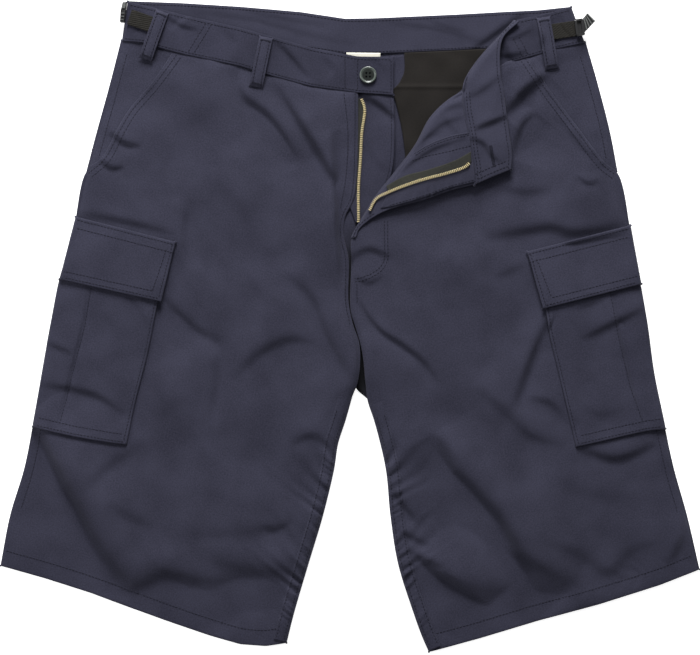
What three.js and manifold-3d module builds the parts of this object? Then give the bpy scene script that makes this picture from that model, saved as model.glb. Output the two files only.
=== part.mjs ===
// Navy twill cargo shorts, laid flat on their back with the fly open and the
// wearer's left front turned over. Sizes are millimetres. +X runs to the
// viewer's right, +Y towards the waist and +Z up from the surface beneath.
import * as THREE from 'three';
import Module from 'manifold-3d';
import { mergeVertices } from 'three/addons/utils/BufferGeometryUtils.js';

const wasm = await Module();
wasm.setup();

// Cloth and the heights at which its layers lie
const twill = 1.2;
const doubledTwill = 2.2;
const seamGap = 0.3;
const seamPlay = 0.8;
const backTop = twill;
const frontRest = 6.2;
const sideEdgeTop = backTop + seamGap + twill;
const hemTop = 4.6;
const waistSeamTop = 5.6;
const leastFrontTop = sideEdgeTop + 0.1;

// Widths over which the front rounds down towards its edges
const sideRoll = 18;
const innerRoll = 13;
const hemRoll = 26;
const waistRoll = 10;

// Sewn sizes
const waistbandHeight = 36;
const waistbandTop = 7.2;
const waistbandEdgeTop = 5.0;
const inseamLap = 12;
const beltLoopWidth = 13;
const webbingWidth = 16;
const buttonDiameter = 18;
const chainWidth = 4.4;
const centreBack = 7.5;

// Facets of each piece: rows from the waist down, or along a strip, and columns
const facets = {
  back: { rows: 24, columns: 6 },
  front: { rows: 32, columns: 22 },
  slashFacing: { rows: 10, columns: 6 },
  backBand: { rows: 3, columns: 30 },
  leftBand: { rows: 4, columns: 28 },
  rightBand: { rows: 6, columns: 12 },
  label: { rows: 2, columns: 3 },
  pocketBag: { rows: 10, columns: 8 },
  flyShield: { rows: 12, columns: 6 },
  leftTape: { rows: 10, columns: 1 },
  leftChain: { rows: 14, columns: 1 },
  slider: { rows: 1, columns: 1 },
  turnedFront: { rows: 20, columns: 8 },
  turnedBand: { rows: 18, columns: 5 },
  flyFacing: { rows: 8, columns: 14 },
  rightTape: { rows: 2, columns: 14 },
  rightChain: { rows: 18, columns: 1 },
  inseamLap: { rows: 22, columns: 2 },
  cargoPocket: { rows: 12, columns: 10 },
  cargoFlap: { rows: 6, columns: 10 },
  beltLoop: { rows: 10, columns: 1 },
  strap: { rows: 6, columns: 1 },
};

// Materials, by their colour and finish
const navy = { color: 0x3f3f4d, roughness: 0.85, metalness: 0 };
const navyInside = { color: 0x434353, roughness: 0.9, metalness: 0 };
const black = { color: 0x2f2d2e, roughness: 0.9, metalness: 0 };
const webbing = { color: 0x343336, roughness: 0.8, metalness: 0 };
const pale = { color: 0xe6e2d2, roughness: 0.8, metalness: 0 };
const brass = { color: 0xc9b072, roughness: 0.35, metalness: 1 };
const buttonPlastic = { color: 0x27302c, roughness: 0.4, metalness: 0 };
const bucklePlastic = { color: 0x1d1d1f, roughness: 0.45, metalness: 0 };

const shorts = new THREE.Group();

function addPiece(name, geometry, finish) {
  const mesh = new THREE.Mesh(geometry, new THREE.MeshStandardMaterial(finish));
  mesh.name = name;
  shorts.add(mesh);
}

// Paths are tables of points, read as smooth curves by length along them
function path(rows) {
  const points = rows.map((row) => new THREE.Vector3(row.x, row.y, 0));
  return new THREE.CatmullRomCurve3(points, false, 'centripetal');
}

function samples(curve, count = 80) {
  return curve.getSpacedPoints(count);
}

function distanceTo(points, x, y) {
  let least = Infinity;
  for (let i = 1; i < points.length; i += 1) {
    const a = points[i - 1];
    const b = points[i];
    const dx = b.x - a.x;
    const dy = b.y - a.y;
    const along = ((x - a.x) * dx + (y - a.y) * dy) / (dx * dx + dy * dy);
    const t = Math.min(Math.max(along, 0), 1);
    least = Math.min(least, Math.hypot(x - a.x - t * dx, y - a.y - t * dy));
  }
  return least;
}

function heightAlong(rows, x) {
  for (let i = 1; i < rows.length; i += 1) {
    if (x <= rows[i].x || i === rows.length - 1) {
      const t = (x - rows[i - 1].x) / (rows[i].x - rows[i - 1].x);
      return rows[i - 1].y + t * (rows[i].y - rows[i - 1].y);
    }
  }
  return rows[0].y;
}

// The outline, seen from the front
const leftSide = [
  { x: -239, y: 300 }, { x: -251, y: 255 }, { x: -265, y: 204 }, { x: -278, y: 154 },
  { x: -289, y: 103 }, { x: -303, y: 53 }, { x: -313, y: 3 }, { x: -322, y: -48 },
  { x: -331, y: -98 }, { x: -341, y: -149 }, { x: -356, y: -199 }, { x: -366, y: -251 },
];
const rightSide = [
  { x: 246, y: 298 }, { x: 259, y: 255 }, { x: 272, y: 204 }, { x: 281, y: 154 },
  { x: 293, y: 103 }, { x: 302, y: 53 }, { x: 311, y: 3 }, { x: 318, y: -48 },
  { x: 328, y: -98 }, { x: 339, y: -149 }, { x: 353, y: -199 }, { x: 366, y: -255 },
];
const leftInner = [
  { x: 1, y: -73 }, { x: -6, y: -98 }, { x: -14, y: -123 }, { x: -18, y: -149 },
  { x: -30, y: -199 }, { x: -45, y: -249 }, { x: -60, y: -300 }, { x: -68, y: -332 },
];
const rightInner = [
  { x: 20, y: -78 }, { x: 27, y: -99 }, { x: 39, y: -149 }, { x: 44, y: -199 },
  { x: 52, y: -249 }, { x: 68, y: -300 }, { x: 77, y: -325 }, { x: 84, y: -341 },
];
const leftHem = [
  { x: -366, y: -251 }, { x: -320, y: -264 }, { x: -273, y: -279 }, { x: -194, y: -308 },
  { x: -147, y: -324 }, { x: -115, y: -333 }, { x: -88, y: -335 }, { x: -68, y: -332 },
];
const rightHem = [
  { x: 84, y: -341 }, { x: 136, y: -327 }, { x: 199, y: -308 }, { x: 262, y: -291 },
  { x: 325, y: -271 }, { x: 366, y: -255 },
];

// The waist: the back's top edge, and the front waistband's edge and seam
const backWaistEdge = [
  { x: -233, y: 341.5 }, { x: -178, y: 339.5 }, { x: -115, y: 335.5 }, { x: -52, y: 330 },
  { x: -5, y: 323 }, { x: 26, y: 323.5 }, { x: 105, y: 327 }, { x: 199, y: 332 },
  { x: 232, y: 335.5 },
];
const leftWaistEdge = [
  { x: -233, y: 340.5 }, { x: -201, y: 333 }, { x: -173, y: 326 }, { x: -115, y: 313 },
  { x: -83, y: 304 }, { x: -40, y: 292 }, { x: 8, y: 283 }, { x: 45, y: 282.5 },
];
const leftWaistSeam = [
  { x: -239, y: 300.5 }, { x: -217, y: 298.5 }, { x: -198, y: 292.5 }, { x: -173, y: 286 },
  { x: -115, y: 274 }, { x: -83, y: 264 }, { x: -40, y: 252.5 }, { x: 8, y: 246 },
  { x: 45, y: 243.5 },
];
const rightWaistEdge = [
  { x: 178, y: 322 }, { x: 195, y: 325.5 }, { x: 210, y: 329 }, { x: 232, y: 335 },
];
const rightWaistSeam = [
  { x: 120, y: 249 }, { x: 165, y: 277 }, { x: 179, y: 281 }, { x: 197, y: 286 },
  { x: 217, y: 292 }, { x: 246, y: 298.5 },
];

// Centre edges of the fronts, from the waist seam down to the fork
const leftFlyEdge = [
  { x: 7, y: 246 }, { x: 7, y: 206 }, { x: 5.5, y: 154 }, { x: 2.5, y: 134 },
  { x: -7, y: 114 }, { x: -8, y: 95 }, { x: -3, y: 72 }, { x: -3, y: 26 },
  { x: 2, y: 1 }, { x: 8, y: -16 }, { x: 9, y: -41 }, { x: 6, y: -61 },
];
const foldLine = [
  { x: 120, y: 246 }, { x: 102, y: 235 }, { x: 84, y: 217 }, { x: 68, y: 188 },
  { x: 42, y: 154 }, { x: 27, y: 135 }, { x: 18, y: 121 }, { x: 3, y: 93 },
];
const waistFold = [
  { x: 174, y: 321 }, { x: 154, y: 301 }, { x: 132, y: 275 }, { x: 122, y: 258 },
  { x: 120, y: 246 },
];
const rightCentre = [
  { x: 3, y: 68 }, { x: 2, y: 17 }, { x: 7, y: 0 }, { x: 14, y: -25 }, { x: 18, y: -62 },
];

// Slanted hand pockets: the front's cut edge, from the waist seam to the side
const leftSlash = [
  { x: -183, y: 287 }, { x: -206, y: 256 }, { x: -231, y: 227 }, { x: -246, y: 201 },
  { x: -258, y: 178 }, { x: -276, y: 162 },
];
const rightSlash = [
  { x: 185, y: 283 }, { x: 210, y: 246 }, { x: 240, y: 206 }, { x: 266, y: 172 },
  { x: 280, y: 161 },
];

// Folds of each front: a curve through three points, its half width, its rise
// (minus is a trough) and which leg it is on
const folds = [
  { leg: 'left', ax: -115, ay: 256, bx: -100, by: 214, cx: -70, cy: 170, width: 11, rise: -2.2 },
  { leg: 'left', ax: -72, ay: 250, bx: -44, by: 198, cx: -6, cy: 150, width: 11, rise: -2.8 },
  { leg: 'left', ax: -88, ay: 240, bx: -62, by: 190, cx: -30, cy: 140, width: 11, rise: 1.8 },
  { leg: 'left', ax: -172, ay: 122, bx: -170, by: 95, cx: -172, cy: 68, width: 12, rise: -1.6 },
  { leg: 'left', ax: -52, ay: 33, bx: -24, by: 2, cx: -4, cy: -44, width: 11, rise: -3 },
  { leg: 'left', ax: -66, ay: 10, bx: -44, by: -20, cx: -22, cy: -64, width: 12, rise: 2.6 },
  { leg: 'left', ax: -118, ay: -48, bx: -88, by: -20, cx: -50, cy: -18, width: 10, rise: -2.6 },
  { leg: 'left', ax: -104, ay: -62, bx: -80, by: -42, cx: -48, cy: -40, width: 12, rise: 1.8 },
  { leg: 'left', ax: -186, ay: 16, bx: -140, by: -30, cx: -146, cy: -96, width: 12, rise: -2 },
  { leg: 'left', ax: -328, ay: -112, bx: -296, by: -180, cx: -240, cy: -266, width: 11, rise: -3.2 },
  { leg: 'left', ax: -306, ay: -106, bx: -268, by: -172, cx: -214, cy: -258, width: 13, rise: 2.6 },
  { leg: 'left', ax: -276, ay: -166, bx: -240, by: -130, cx: -196, cy: -122, width: 14, rise: -1.6 },
  { leg: 'left', ax: -174, ay: -218, bx: -110, by: -222, cx: -52, cy: -198, width: 11, rise: -2.6 },
  { leg: 'left', ax: -170, ay: -200, bx: -112, by: -200, cx: -60, cy: -178, width: 14, rise: 2 },
  { leg: 'left', ax: -242, ay: -284, bx: -160, by: -262, cx: -74, cy: -280, width: 12, rise: -2.2 },
  { leg: 'right', ax: 13, ay: 20, bx: 40, by: -24, cx: 100, cy: -64, width: 10, rise: -3 },
  { leg: 'right', ax: 26, ay: 34, bx: 56, by: -10, cx: 110, cy: -44, width: 13, rise: 2.4 },
  { leg: 'right', ax: 2, ay: 78, bx: 20, by: 88, cx: 40, cy: 72, width: 8, rise: -2 },
  { leg: 'right', ax: 208, ay: 6, bx: 184, by: -40, cx: 174, cy: -78, width: 10, rise: -2.8 },
  { leg: 'right', ax: 192, ay: 8, bx: 168, by: -34, cx: 156, cy: -72, width: 12, rise: 2 },
  { leg: 'right', ax: 146, ay: 94, bx: 210, by: 110, cx: 286, cy: 104, width: 11, rise: -2.8 },
  { leg: 'right', ax: 150, ay: 116, bx: 210, by: 130, cx: 270, cy: 128, width: 12, rise: 1.8 },
  { leg: 'right', ax: 134, ay: -66, bx: 180, by: -118, cx: 232, cy: -130, width: 12, rise: -2.4 },
  { leg: 'right', ax: 244, ay: -128, bx: 278, by: -146, cx: 314, cy: -122, width: 10, rise: -3 },
  { leg: 'right', ax: 104, ay: -150, bx: 160, by: -230, cx: 172, cy: -280, width: 15, rise: -3 },
  { leg: 'right', ax: 128, ay: -136, bx: 184, by: -208, cx: 200, cy: -270, width: 14, rise: 2.6 },
  { leg: 'right', ax: 196, ay: -226, bx: 262, by: -290, cx: 330, cy: -226, width: 12, rise: -2.2 },
  { leg: 'right', ax: 46, ay: -172, bx: 66, by: -202, cx: 76, cy: -212, width: 9, rise: -2 },
  { leg: 'right', ax: 56, ay: -232, bx: 92, by: -252, cx: 122, cy: -256, width: 9, rise: -2.2 },
  { leg: 'right', ax: 72, ay: -266, bx: 118, by: -292, cx: 160, cy: -290, width: 11, rise: -2.4 },
];

const foldSteps = 10;
const fadeStart = 0.08;
const fadeEnd = 0.92;
for (const fold of folds) {
  const a = new THREE.Vector2(fold.ax, fold.ay);
  const b = new THREE.Vector2(fold.bx, fold.by);
  const c = new THREE.Vector2(fold.cx, fold.cy);
  fold.route = new THREE.SplineCurve([a, b, c]).getPoints(foldSteps);
}

// Rise of one fold at a point: a bell across it, fading out at both ends
function foldRise(fold, x, y) {
  let least = Infinity;
  let place = 0;
  fold.route.forEach((point, index) => {
    const away = Math.hypot(x - point.x, y - point.y);
    if (away < least) {
      least = away;
      place = index / foldSteps;
    }
  });
  const fade = Math.sin(Math.PI * THREE.MathUtils.lerp(fadeStart, fadeEnd, place));
  return fold.rise * fade * Math.exp(-((least / fold.width) ** 2));
}

function rounding(distance, width) {
  const t = Math.min(Math.max(distance / width, 0), 1);
  return Math.sqrt(1 - (1 - t) ** 2);
}

function leg(name, edges) {
  const rims = edges.map((edge) => ({ ...edge, points: samples(path(edge.rows)) }));
  const ownFolds = folds.filter((fold) => fold.leg === name);
  return { rims, ownFolds };
}

const leftLeg = leg('left', [
  { rows: leftSide, width: sideRoll, height: sideEdgeTop },
  { rows: leftFlyEdge.slice(4).concat(leftInner), width: innerRoll, height: sideEdgeTop },
  { rows: leftHem, width: hemRoll, height: hemTop },
  { rows: leftWaistSeam, width: waistRoll, height: waistSeamTop },
]);
const rightLeg = leg('right', [
  { rows: rightSide, width: sideRoll, height: sideEdgeTop },
  { rows: rightCentre.concat(rightInner), width: innerRoll, height: sideEdgeTop },
  { rows: rightHem, width: hemRoll, height: hemTop },
  { rows: rightWaistSeam, width: waistRoll, height: waistSeamTop },
]);

// Height of a front's outer face
function frontTop(ofLeg, x, y) {
  let full = frontRest;
  for (const fold of ofLeg.ownFolds) {
    full += foldRise(fold, x, y);
  }
  full = Math.max(full, leastFrontTop);
  let top = full;
  for (const rim of ofLeg.rims) {
    const round = rounding(distanceTo(rim.points, x, y), rim.width);
    top = Math.min(top, rim.height + (full - rim.height) * round);
  }
  return top;
}

// A closed wall between an upper and a lower grid of points
function wall(rows, columns, upper, lower) {
  const positions = [];
  const index = [];
  const size = (rows + 1) * (columns + 1);
  const at = (i, j) => i * (columns + 1) + j;
  for (const face of [upper, lower]) {
    for (let i = 0; i <= rows; i += 1) {
      for (let j = 0; j <= columns; j += 1) {
        positions.push(...face(j / columns, i / rows).toArray());
      }
    }
  }
  for (let i = 0; i < rows; i += 1) {
    for (let j = 0; j < columns; j += 1) {
      const [a, b, c, d] = [at(i, j), at(i, j + 1), at(i + 1, j + 1), at(i + 1, j)];
      index.push(a, d, c, a, c, b);
      index.push(a + size, c + size, d + size, a + size, b + size, c + size);
    }
  }
  const rim = [];
  for (let j = 0; j < columns; j += 1) rim.push(at(0, j));
  for (let i = 0; i < rows; i += 1) rim.push(at(i, columns));
  for (let j = columns; j > 0; j -= 1) rim.push(at(rows, j));
  for (let i = rows; i > 0; i -= 1) rim.push(at(i, 0));
  rim.forEach((a, place) => {
    const b = rim[(place + 1) % rim.length];
    index.push(a, b, b + size, a, b + size, a + size);
  });
  return facingOut(positions, index);
}

function facingOut(positions, index) {
  let volume = 0;
  const corner = (i) => new THREE.Vector3().fromArray(positions, 3 * i);
  for (let i = 0; i < index.length; i += 3) {
    const [a, b, c] = [index[i], index[i + 1], index[i + 2]].map(corner);
    volume += a.dot(b.cross(c));
  }
  if (volume < 0) {
    for (let i = 0; i < index.length; i += 3) {
      [index[i + 1], index[i + 2]] = [index[i + 2], index[i + 1]];
    }
  }
  const geometry = new THREE.BufferGeometry();
  geometry.setAttribute('position', new THREE.Float32BufferAttribute(positions, 3));
  geometry.setIndex(index);
  return geometry;
}

// A patch in plan between its two side tables, which run from the waist down,
// and its top and bottom edges, which run from left to right and pin the ends
// of the sides: the mean of the edges less the mean of the corners
function patch(leftRows, rightRows, top, bottom) {
  const corners = [top(0), top(1), bottom(0), bottom(1)];
  const left = path([corners[0], ...leftRows.slice(1, -1), corners[2]]);
  const right = path([corners[1], ...rightRows.slice(1, -1), corners[3]]);
  return (u, v) => {
    const point = left.getPointAt(v).multiplyScalar(1 - u);
    point.addScaledVector(right.getPointAt(v), u);
    point.addScaledVector(top(u), 1 - v);
    point.addScaledVector(bottom(u), v);
    point.addScaledVector(corners[0], -(1 - u) * (1 - v));
    point.addScaledVector(corners[1], -u * (1 - v));
    point.addScaledVector(corners[2], -(1 - u) * v);
    point.addScaledVector(corners[3], -u * v);
    return point;
  };
}

// The stretch of a left-to-right path between two places across
const between = (rows, fromX, toX, rise = 0) => (t) => {
  const x = THREE.MathUtils.lerp(fromX, toX, t);
  return new THREE.Vector3(x, heightAlong(rows, x) + rise, 0);
};

const straight = (from, to) => (t) => new THREE.Vector3(
  THREE.MathUtils.lerp(from.x, to.x, t),
  THREE.MathUtils.lerp(from.y, to.y, t),
  0,
);

// The whole of a left-to-right path
const whole = (rows, rise = 0) => between(rows, rows[0].x, rows[rows.length - 1].x, rise);

// A sheet of cloth in plan between an upper and a lower height
function layer({ rows, columns }, plan, topHeight, bottomHeight) {
  const lifted = (height) => (u, v) => {
    const point = plan(u, v);
    return point.setZ(height(point.x, point.y, u, v));
  };
  return wall(rows, columns, lifted(topHeight), lifted(bottomHeight));
}

// A sheet whose wall has one thickness
function sheet(grid, plan, topHeight, thickness) {
  const bottomHeight = (...place) => topHeight(...place) - thickness;
  return layer(grid, plan, topHeight, bottomHeight);
}

// The height that clears a facetted surface all round a point
const facetReach = 6.5;
const clearOf = (top) => (x, y) => Math.max(
  top(x, y),
  top(x - facetReach, y),
  top(x + facetReach, y),
  top(x, y - facetReach),
  top(x, y + facetReach),
) + seamGap;

// Columns lie closer together near the two long edges
const crowding = 0.1;
const crowded = (u) => u - crowding * Math.sin(2 * Math.PI * u);

function crowdedPlan(plan) {
  return (u, v) => plan(crowded(u), v);
}

// Back panels: flat underneath, meeting at the centre back seam
const leftBackInner = [
  { x: centreBack - seamGap / 2, y: 285 }, { x: centreBack - seamGap / 2, y: -30 },
  { x: 3.5, y: -62 }, ...leftInner,
];
const rightBackInner = [
  { x: centreBack + seamGap / 2, y: 285 }, { x: centreBack + seamGap / 2, y: -30 },
  { x: 4.2, y: -62 }, { x: 14.5, y: -73 }, ...rightInner,
];
const backSeam = backWaistEdge.map((row) => ({ x: row.x, y: row.y - waistbandHeight }));
const backTopLeft = { x: -236, y: 303 };
const backTopRight = { x: 244, y: 299 };
const leftBackPlan = patch(
  [backTopLeft, ...leftSide.slice(1)],
  leftBackInner,
  between(backSeam, backTopLeft.x, centreBack - seamGap / 2),
  whole(leftHem),
);
const rightBackPlan = patch(
  rightBackInner,
  [backTopRight, ...rightSide.slice(1)],
  between(backSeam, centreBack + seamGap / 2, backTopRight.x),
  whole(rightHem),
);
const flatBack = () => backTop;
addPiece('back_left', sheet(facets.back, leftBackPlan, flatBack, twill), navy);
addPiece('back_right', sheet(facets.back, rightBackPlan, flatBack, twill), navy);

// Fronts: from the slanted pocket edge and side seam to the fly and inner leg
const foldInset = 0.4;
const insetFold = foldLine.map((row) => ({ x: row.x + foldInset, y: row.y - foldInset }));
const leftFrontPlan = crowdedPlan(patch(
  [...leftSlash, ...leftSide.slice(4)],
  [...leftFlyEdge, ...leftInner],
  between(leftWaistSeam, leftSlash[0].x, leftFlyEdge[0].x, -seamPlay),
  whole(leftHem),
));
const rightFrontPlan = crowdedPlan(patch(
  [...insetFold, ...rightCentre, ...rightInner],
  [...rightSlash, ...rightSide.slice(4)],
  between(rightWaistSeam, insetFold[0].x, rightSlash[0].x, -seamPlay),
  whole(rightHem),
));
const leftTop = (x, y) => frontTop(leftLeg, x, y);
const rightTop = (x, y) => frontTop(rightLeg, x, y);
addPiece('front_left', sheet(facets.front, leftFrontPlan, leftTop, twill), navy);
addPiece('front_right', sheet(facets.front, rightFrontPlan, rightTop, twill), navy);

// Side pieces behind the hand pockets, one cloth lower than the front's edge
const slashStep = 0.9;
const slashFoot = 170;
const slashLap = 1;
const leftSlashTop = (x, y) => Math.max(leftTop(x, y) - slashStep, sideEdgeTop);
const rightSlashTop = (x, y) => Math.max(rightTop(x, y) - slashStep, sideEdgeTop);
const outside = (slash, sideways) => slash.map((row) => (
  { x: row.x + sideways * seamPlay, y: row.y + seamPlay }
));
addPiece('slash_facing_left', sheet(facets.slashFacing, patch(
  leftSide.slice(0, 4),
  outside(leftSlash.slice(0, 5), -1),
  between(leftWaistSeam, leftSide[0].x, leftSlash[0].x - slashLap, -seamPlay),
  straight({ x: -274, y: slashFoot }, { x: -269, y: slashFoot + slashLap }),
), leftSlashTop, twill), navy);
addPiece('slash_facing_right', sheet(facets.slashFacing, patch(
  rightSide.slice(0, 4),
  outside(rightSlash.slice(0, 4), 1),
  between(rightWaistSeam, rightSide[0].x, rightSlash[0].x + slashLap, -seamPlay),
  straight({ x: 278, y: slashFoot }, { x: 272, y: slashFoot + slashLap }),
), rightSlashTop, twill), navy);

// Waistband: two cloths thick. The front's left half runs on past the fly to
// carry the button
const bandHeight = (sideX) => (x, y) => {
  const round = rounding(Math.abs(x - sideX(y)), sideRoll);
  return waistbandEdgeTop + (waistbandTop - waistbandEdgeTop) * round;
};
const leftBandSide = { foot: { x: -239, y: 300 }, head: { x: -233, y: 341 } };
const rightBandSide = { foot: { x: 246, y: 298 }, head: { x: 232, y: 335 } };
const bandSideAt = ({ foot, head }) => (y) => (
  THREE.MathUtils.mapLinear(y, foot.y, head.y, foot.x, head.x)
);
const leftBandTop = bandHeight(bandSideAt(leftBandSide));
const rightBandTop = bandHeight(bandSideAt(rightBandSide));
const backBandPlan = patch(
  [],
  [],
  whole(backWaistEdge),
  between(backSeam, backTopLeft.x, backTopRight.x, seamPlay + 2 * seamGap),
);
const leftBandPlan = patch(
  [],
  [],
  whole(leftWaistEdge),
  whole(leftWaistSeam),
);
const rightBandPlan = patch(
  waistFold.map((row) => ({ x: row.x + 2 * foldInset, y: row.y })),
  [],
  between(rightWaistEdge, waistFold[0].x + 2 * foldInset, rightBandSide.head.x),
  between(rightWaistSeam, foldLine[0].x + 2 * foldInset, rightBandSide.foot.x),
);
const flatBand = () => doubledTwill;
addPiece('back_waistband', sheet(facets.backBand, backBandPlan, flatBand, doubledTwill), navyInside);
addPiece('waistband_left', sheet(facets.leftBand, leftBandPlan, leftBandTop, doubledTwill), navy);
addPiece('waistband_right', sheet(facets.rightBand, rightBandPlan, rightBandTop, doubledTwill), navy);

// The size label, bare, standing up behind the front's waist edge
const labelThickness = 0.6;
const labelTop = doubledTwill + seamGap + labelThickness;
addPiece('size_label', sheet(facets.label, patch(
  [],
  [],
  straight({ x: -4, y: 288 }, { x: 32, y: 287.5 }),
  straight({ x: -2, y: 272 }, { x: 32, y: 272 }),
), () => labelTop, labelThickness), pale);

// Pocketing of a back pocket, lying inside on the back panel
const pocketingTop = backTop + seamGap + twill;
const pocketingFoot = 128;
const pocketingLeft = 57;
const pocketingRight = 200;
const pocketingTaper = 2;
addPiece('back_pocket_bag', sheet(facets.pocketBag, patch(
  [],
  [],
  between(backSeam, pocketingLeft, pocketingRight, -seamPlay),
  straight(
    { x: pocketingLeft + pocketingTaper, y: pocketingFoot },
    { x: pocketingRight - pocketingTaper, y: pocketingFoot },
  ),
), () => pocketingTop, twill), black);

// Fly shield, zip tape and zip chain on the buttoned side
const shieldTop = 3.2;
const tapeThickness = 0.8;
const chainThickness = 1.8;
const shieldTopEdge = 242;
const shieldFoot = 109;
addPiece('fly_shield', sheet(facets.flyShield, patch(
  [{ x: -8, y: shieldTopEdge }, { x: -8, y: 150 }, { x: 3, y: 118 }, { x: 6, y: shieldFoot }],
  [{ x: 45, y: shieldTopEdge }, { x: 46, y: 200 }, { x: 43, y: 162 }, { x: 33, y: 136 },
    { x: 15, y: shieldFoot }],
  straight({ x: -8, y: shieldTopEdge }, { x: 45, y: shieldTopEdge }),
  straight({ x: 6, y: shieldFoot }, { x: 15, y: shieldFoot }),
), () => shieldTop, twill), navy);

const leftChain = [
  { x: 12, y: 239.5 }, { x: 15.5, y: 229 }, { x: 12.5, y: 204 }, { x: 11, y: 175 },
  { x: 9, y: 145 }, { x: 9, y: 121 }, { x: 9, y: 110 },
];

// A strip along a path: its plan, from one side of the path to the other
function strip(rows, fromSide, toSide) {
  const curve = path(rows);
  return (u, v) => {
    const tangent = curve.getTangentAt(v);
    const sideways = THREE.MathUtils.lerp(fromSide, toSide, u);
    const point = curve.getPointAt(v);
    point.x -= tangent.y * sideways;
    point.y += tangent.x * sideways;
    return point;
  };
}

const halfChain = chainWidth / 2;
const tapeTop = shieldTop + seamGap + tapeThickness;
const tapeReach = 12;
addPiece('zip_tape_left', sheet(facets.leftTape, strip(leftChain.slice(0, 5),
  -halfChain - seamGap, -tapeReach), () => tapeTop, tapeThickness), black);
addPiece('zip_chain_left', sheet(facets.leftChain, strip(leftChain, -halfChain, halfChain),
  () => shieldTop + seamGap + chainThickness, chainThickness), brass);

// Slider, stopped at the foot of the zip beneath the turned front
const sliderBottom = backTop + seamGap;
const sliderTop = 3.7;
const sliderHead = 106;
const sliderFoot = 97;
addPiece('zip_slider', sheet(facets.slider, patch(
  [],
  [],
  straight({ x: 9.5, y: sliderHead }, { x: 17.5, y: sliderHead }),
  straight({ x: 11, y: sliderFoot }, { x: 16, y: sliderFoot }),
), () => sliderTop, sliderTop - sliderBottom), brass);

// The turned front: it springs up from the fold and falls to its free edge
const turnedLift = 3.4;
const turnedEdgeLift = 1.8;
const turnedSpring = 16;
const bandFoot = 205;
const bandSeam = 245;
const flyEdge = [
  { x: 132, y: 150 }, { x: 104, y: 143 }, { x: 79, y: 134 }, { x: 40, y: 123 },
  { x: 21, y: 113 }, { x: 9, y: 102 }, { x: 5.5, y: 93.5 },
];
const foldSamples = samples(path([...waistFold.slice(0, 4), ...foldLine]));
const flyEdgeSamples = samples(path(flyEdge));

const lowerLayerTop = (y) => THREE.MathUtils.clamp(
  THREE.MathUtils.mapLinear(y, bandFoot, bandSeam, frontRest, waistbandTop),
  frontRest,
  waistbandTop,
);

function turnedBottom(x, y) {
  const fromFold = rounding(distanceTo(foldSamples, x, y), turnedSpring);
  const fromFree = rounding(distanceTo(flyEdgeSamples, x, y), turnedSpring);
  const free = turnedEdgeLift + (turnedLift - turnedEdgeLift) * fromFree;
  return lowerLayerTop(y) + Math.min(seamGap + turnedLift * fromFold, free);
}

const turnedTop = (x, y) => turnedBottom(x, y) + twill;
const turnedSeam = [
  { x: 119.7, y: 246 }, { x: 121.4, y: 225 }, { x: 126, y: 201 }, { x: 128, y: 184 },
  { x: 131, y: 167 }, { x: 132, y: 150 },
];
const alongRows = (rows) => {
  const curve = path(rows);
  return (t) => curve.getPointAt(t);
};
addPiece('turned_front', sheet(facets.turnedFront, patch(
  [...foldLine].reverse(),
  [...flyEdge].reverse(),
  straight({ x: 3, y: 93 }, { x: 5.5, y: 93.5 }),
  alongRows(turnedSeam),
), turnedTop, twill), navyInside);

const turnedOuter = [
  { x: 177, y: 320 }, { x: 159, y: 301 }, { x: 156.5, y: 266 }, { x: 159.6, y: 248 },
  { x: 163, y: 222 }, { x: 166, y: 199 }, { x: 168.6, y: 180 }, { x: 168, y: 165 },
];
const turnedBandTop = (x, y) => turnedBottom(x, y) + doubledTwill;
addPiece('turned_waistband', sheet(facets.turnedBand, patch(
  [...waistFold.slice(0, 4), ...turnedSeam.map((row) => ({ x: row.x + seamPlay, y: row.y }))],
  turnedOuter,
  straight({ x: 174, y: 321 }, { x: 177, y: 320 }),
  alongRows([{ x: 132.8, y: 150 }, { x: 149, y: 157.5 }, { x: 168, y: 165 }]),
), turnedBandTop, doubledTwill), navyInside);

// Facing, tape and chain on the turned front
const facingThickness = 1.0;
const facingTop = (x, y) => clearOf(turnedTop)(x, y) + facingThickness;
addPiece('fly_facing', sheet(facets.flyFacing, patch(
  [{ x: 66, y: 181 }, { x: 45, y: 150.5 }, { x: 36, y: 130 }],
  [{ x: 124.5, y: 203 }, { x: 127, y: 184 }, { x: 130, y: 167 }, { x: 131, y: 153.5 }],
  alongRows([{ x: 66, y: 181 }, { x: 84, y: 191.5 }, { x: 104, y: 199 }, { x: 124.5, y: 203 }]),
  alongRows([{ x: 36, y: 130 }, { x: 41, y: 128 }, { x: 79, y: 138.5 }, { x: 104, y: 147.5 },
    { x: 131, y: 153.5 }]),
), facingTop, facingThickness), navyInside);

const rightChain = [
  { x: 125, y: 171 }, { x: 120.5, y: 167 }, { x: 102, y: 160.5 }, { x: 81, y: 155 },
  { x: 63, y: 149.5 }, { x: 41, y: 141 }, { x: 27.5, y: 134 }, { x: 20, y: 121 },
];
addPiece('zip_tape_right', sheet(facets.rightTape, patch(
  [],
  [],
  alongRows([{ x: 40, y: 148.5 }, { x: 58, y: 158 }, { x: 82.5, y: 164.5 }, { x: 110, y: 174 },
    { x: 126.5, y: 183 }]),
  alongRows([{ x: 43, y: 145 }, { x: 62, y: 152.7 }, { x: 80, y: 158.2 }, { x: 101, y: 164 },
    { x: 118.5, y: 170.5 }, { x: 126, y: 176.5 }]),
), (x, y) => clearOf(facingTop)(x, y) + tapeThickness, tapeThickness), black);
addPiece('zip_chain_right', sheet(facets.rightChain, strip(rightChain, -halfChain, halfChain),
  (x, y) => clearOf(facingTop)(x, y) + chainThickness, chainThickness), brass);

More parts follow.
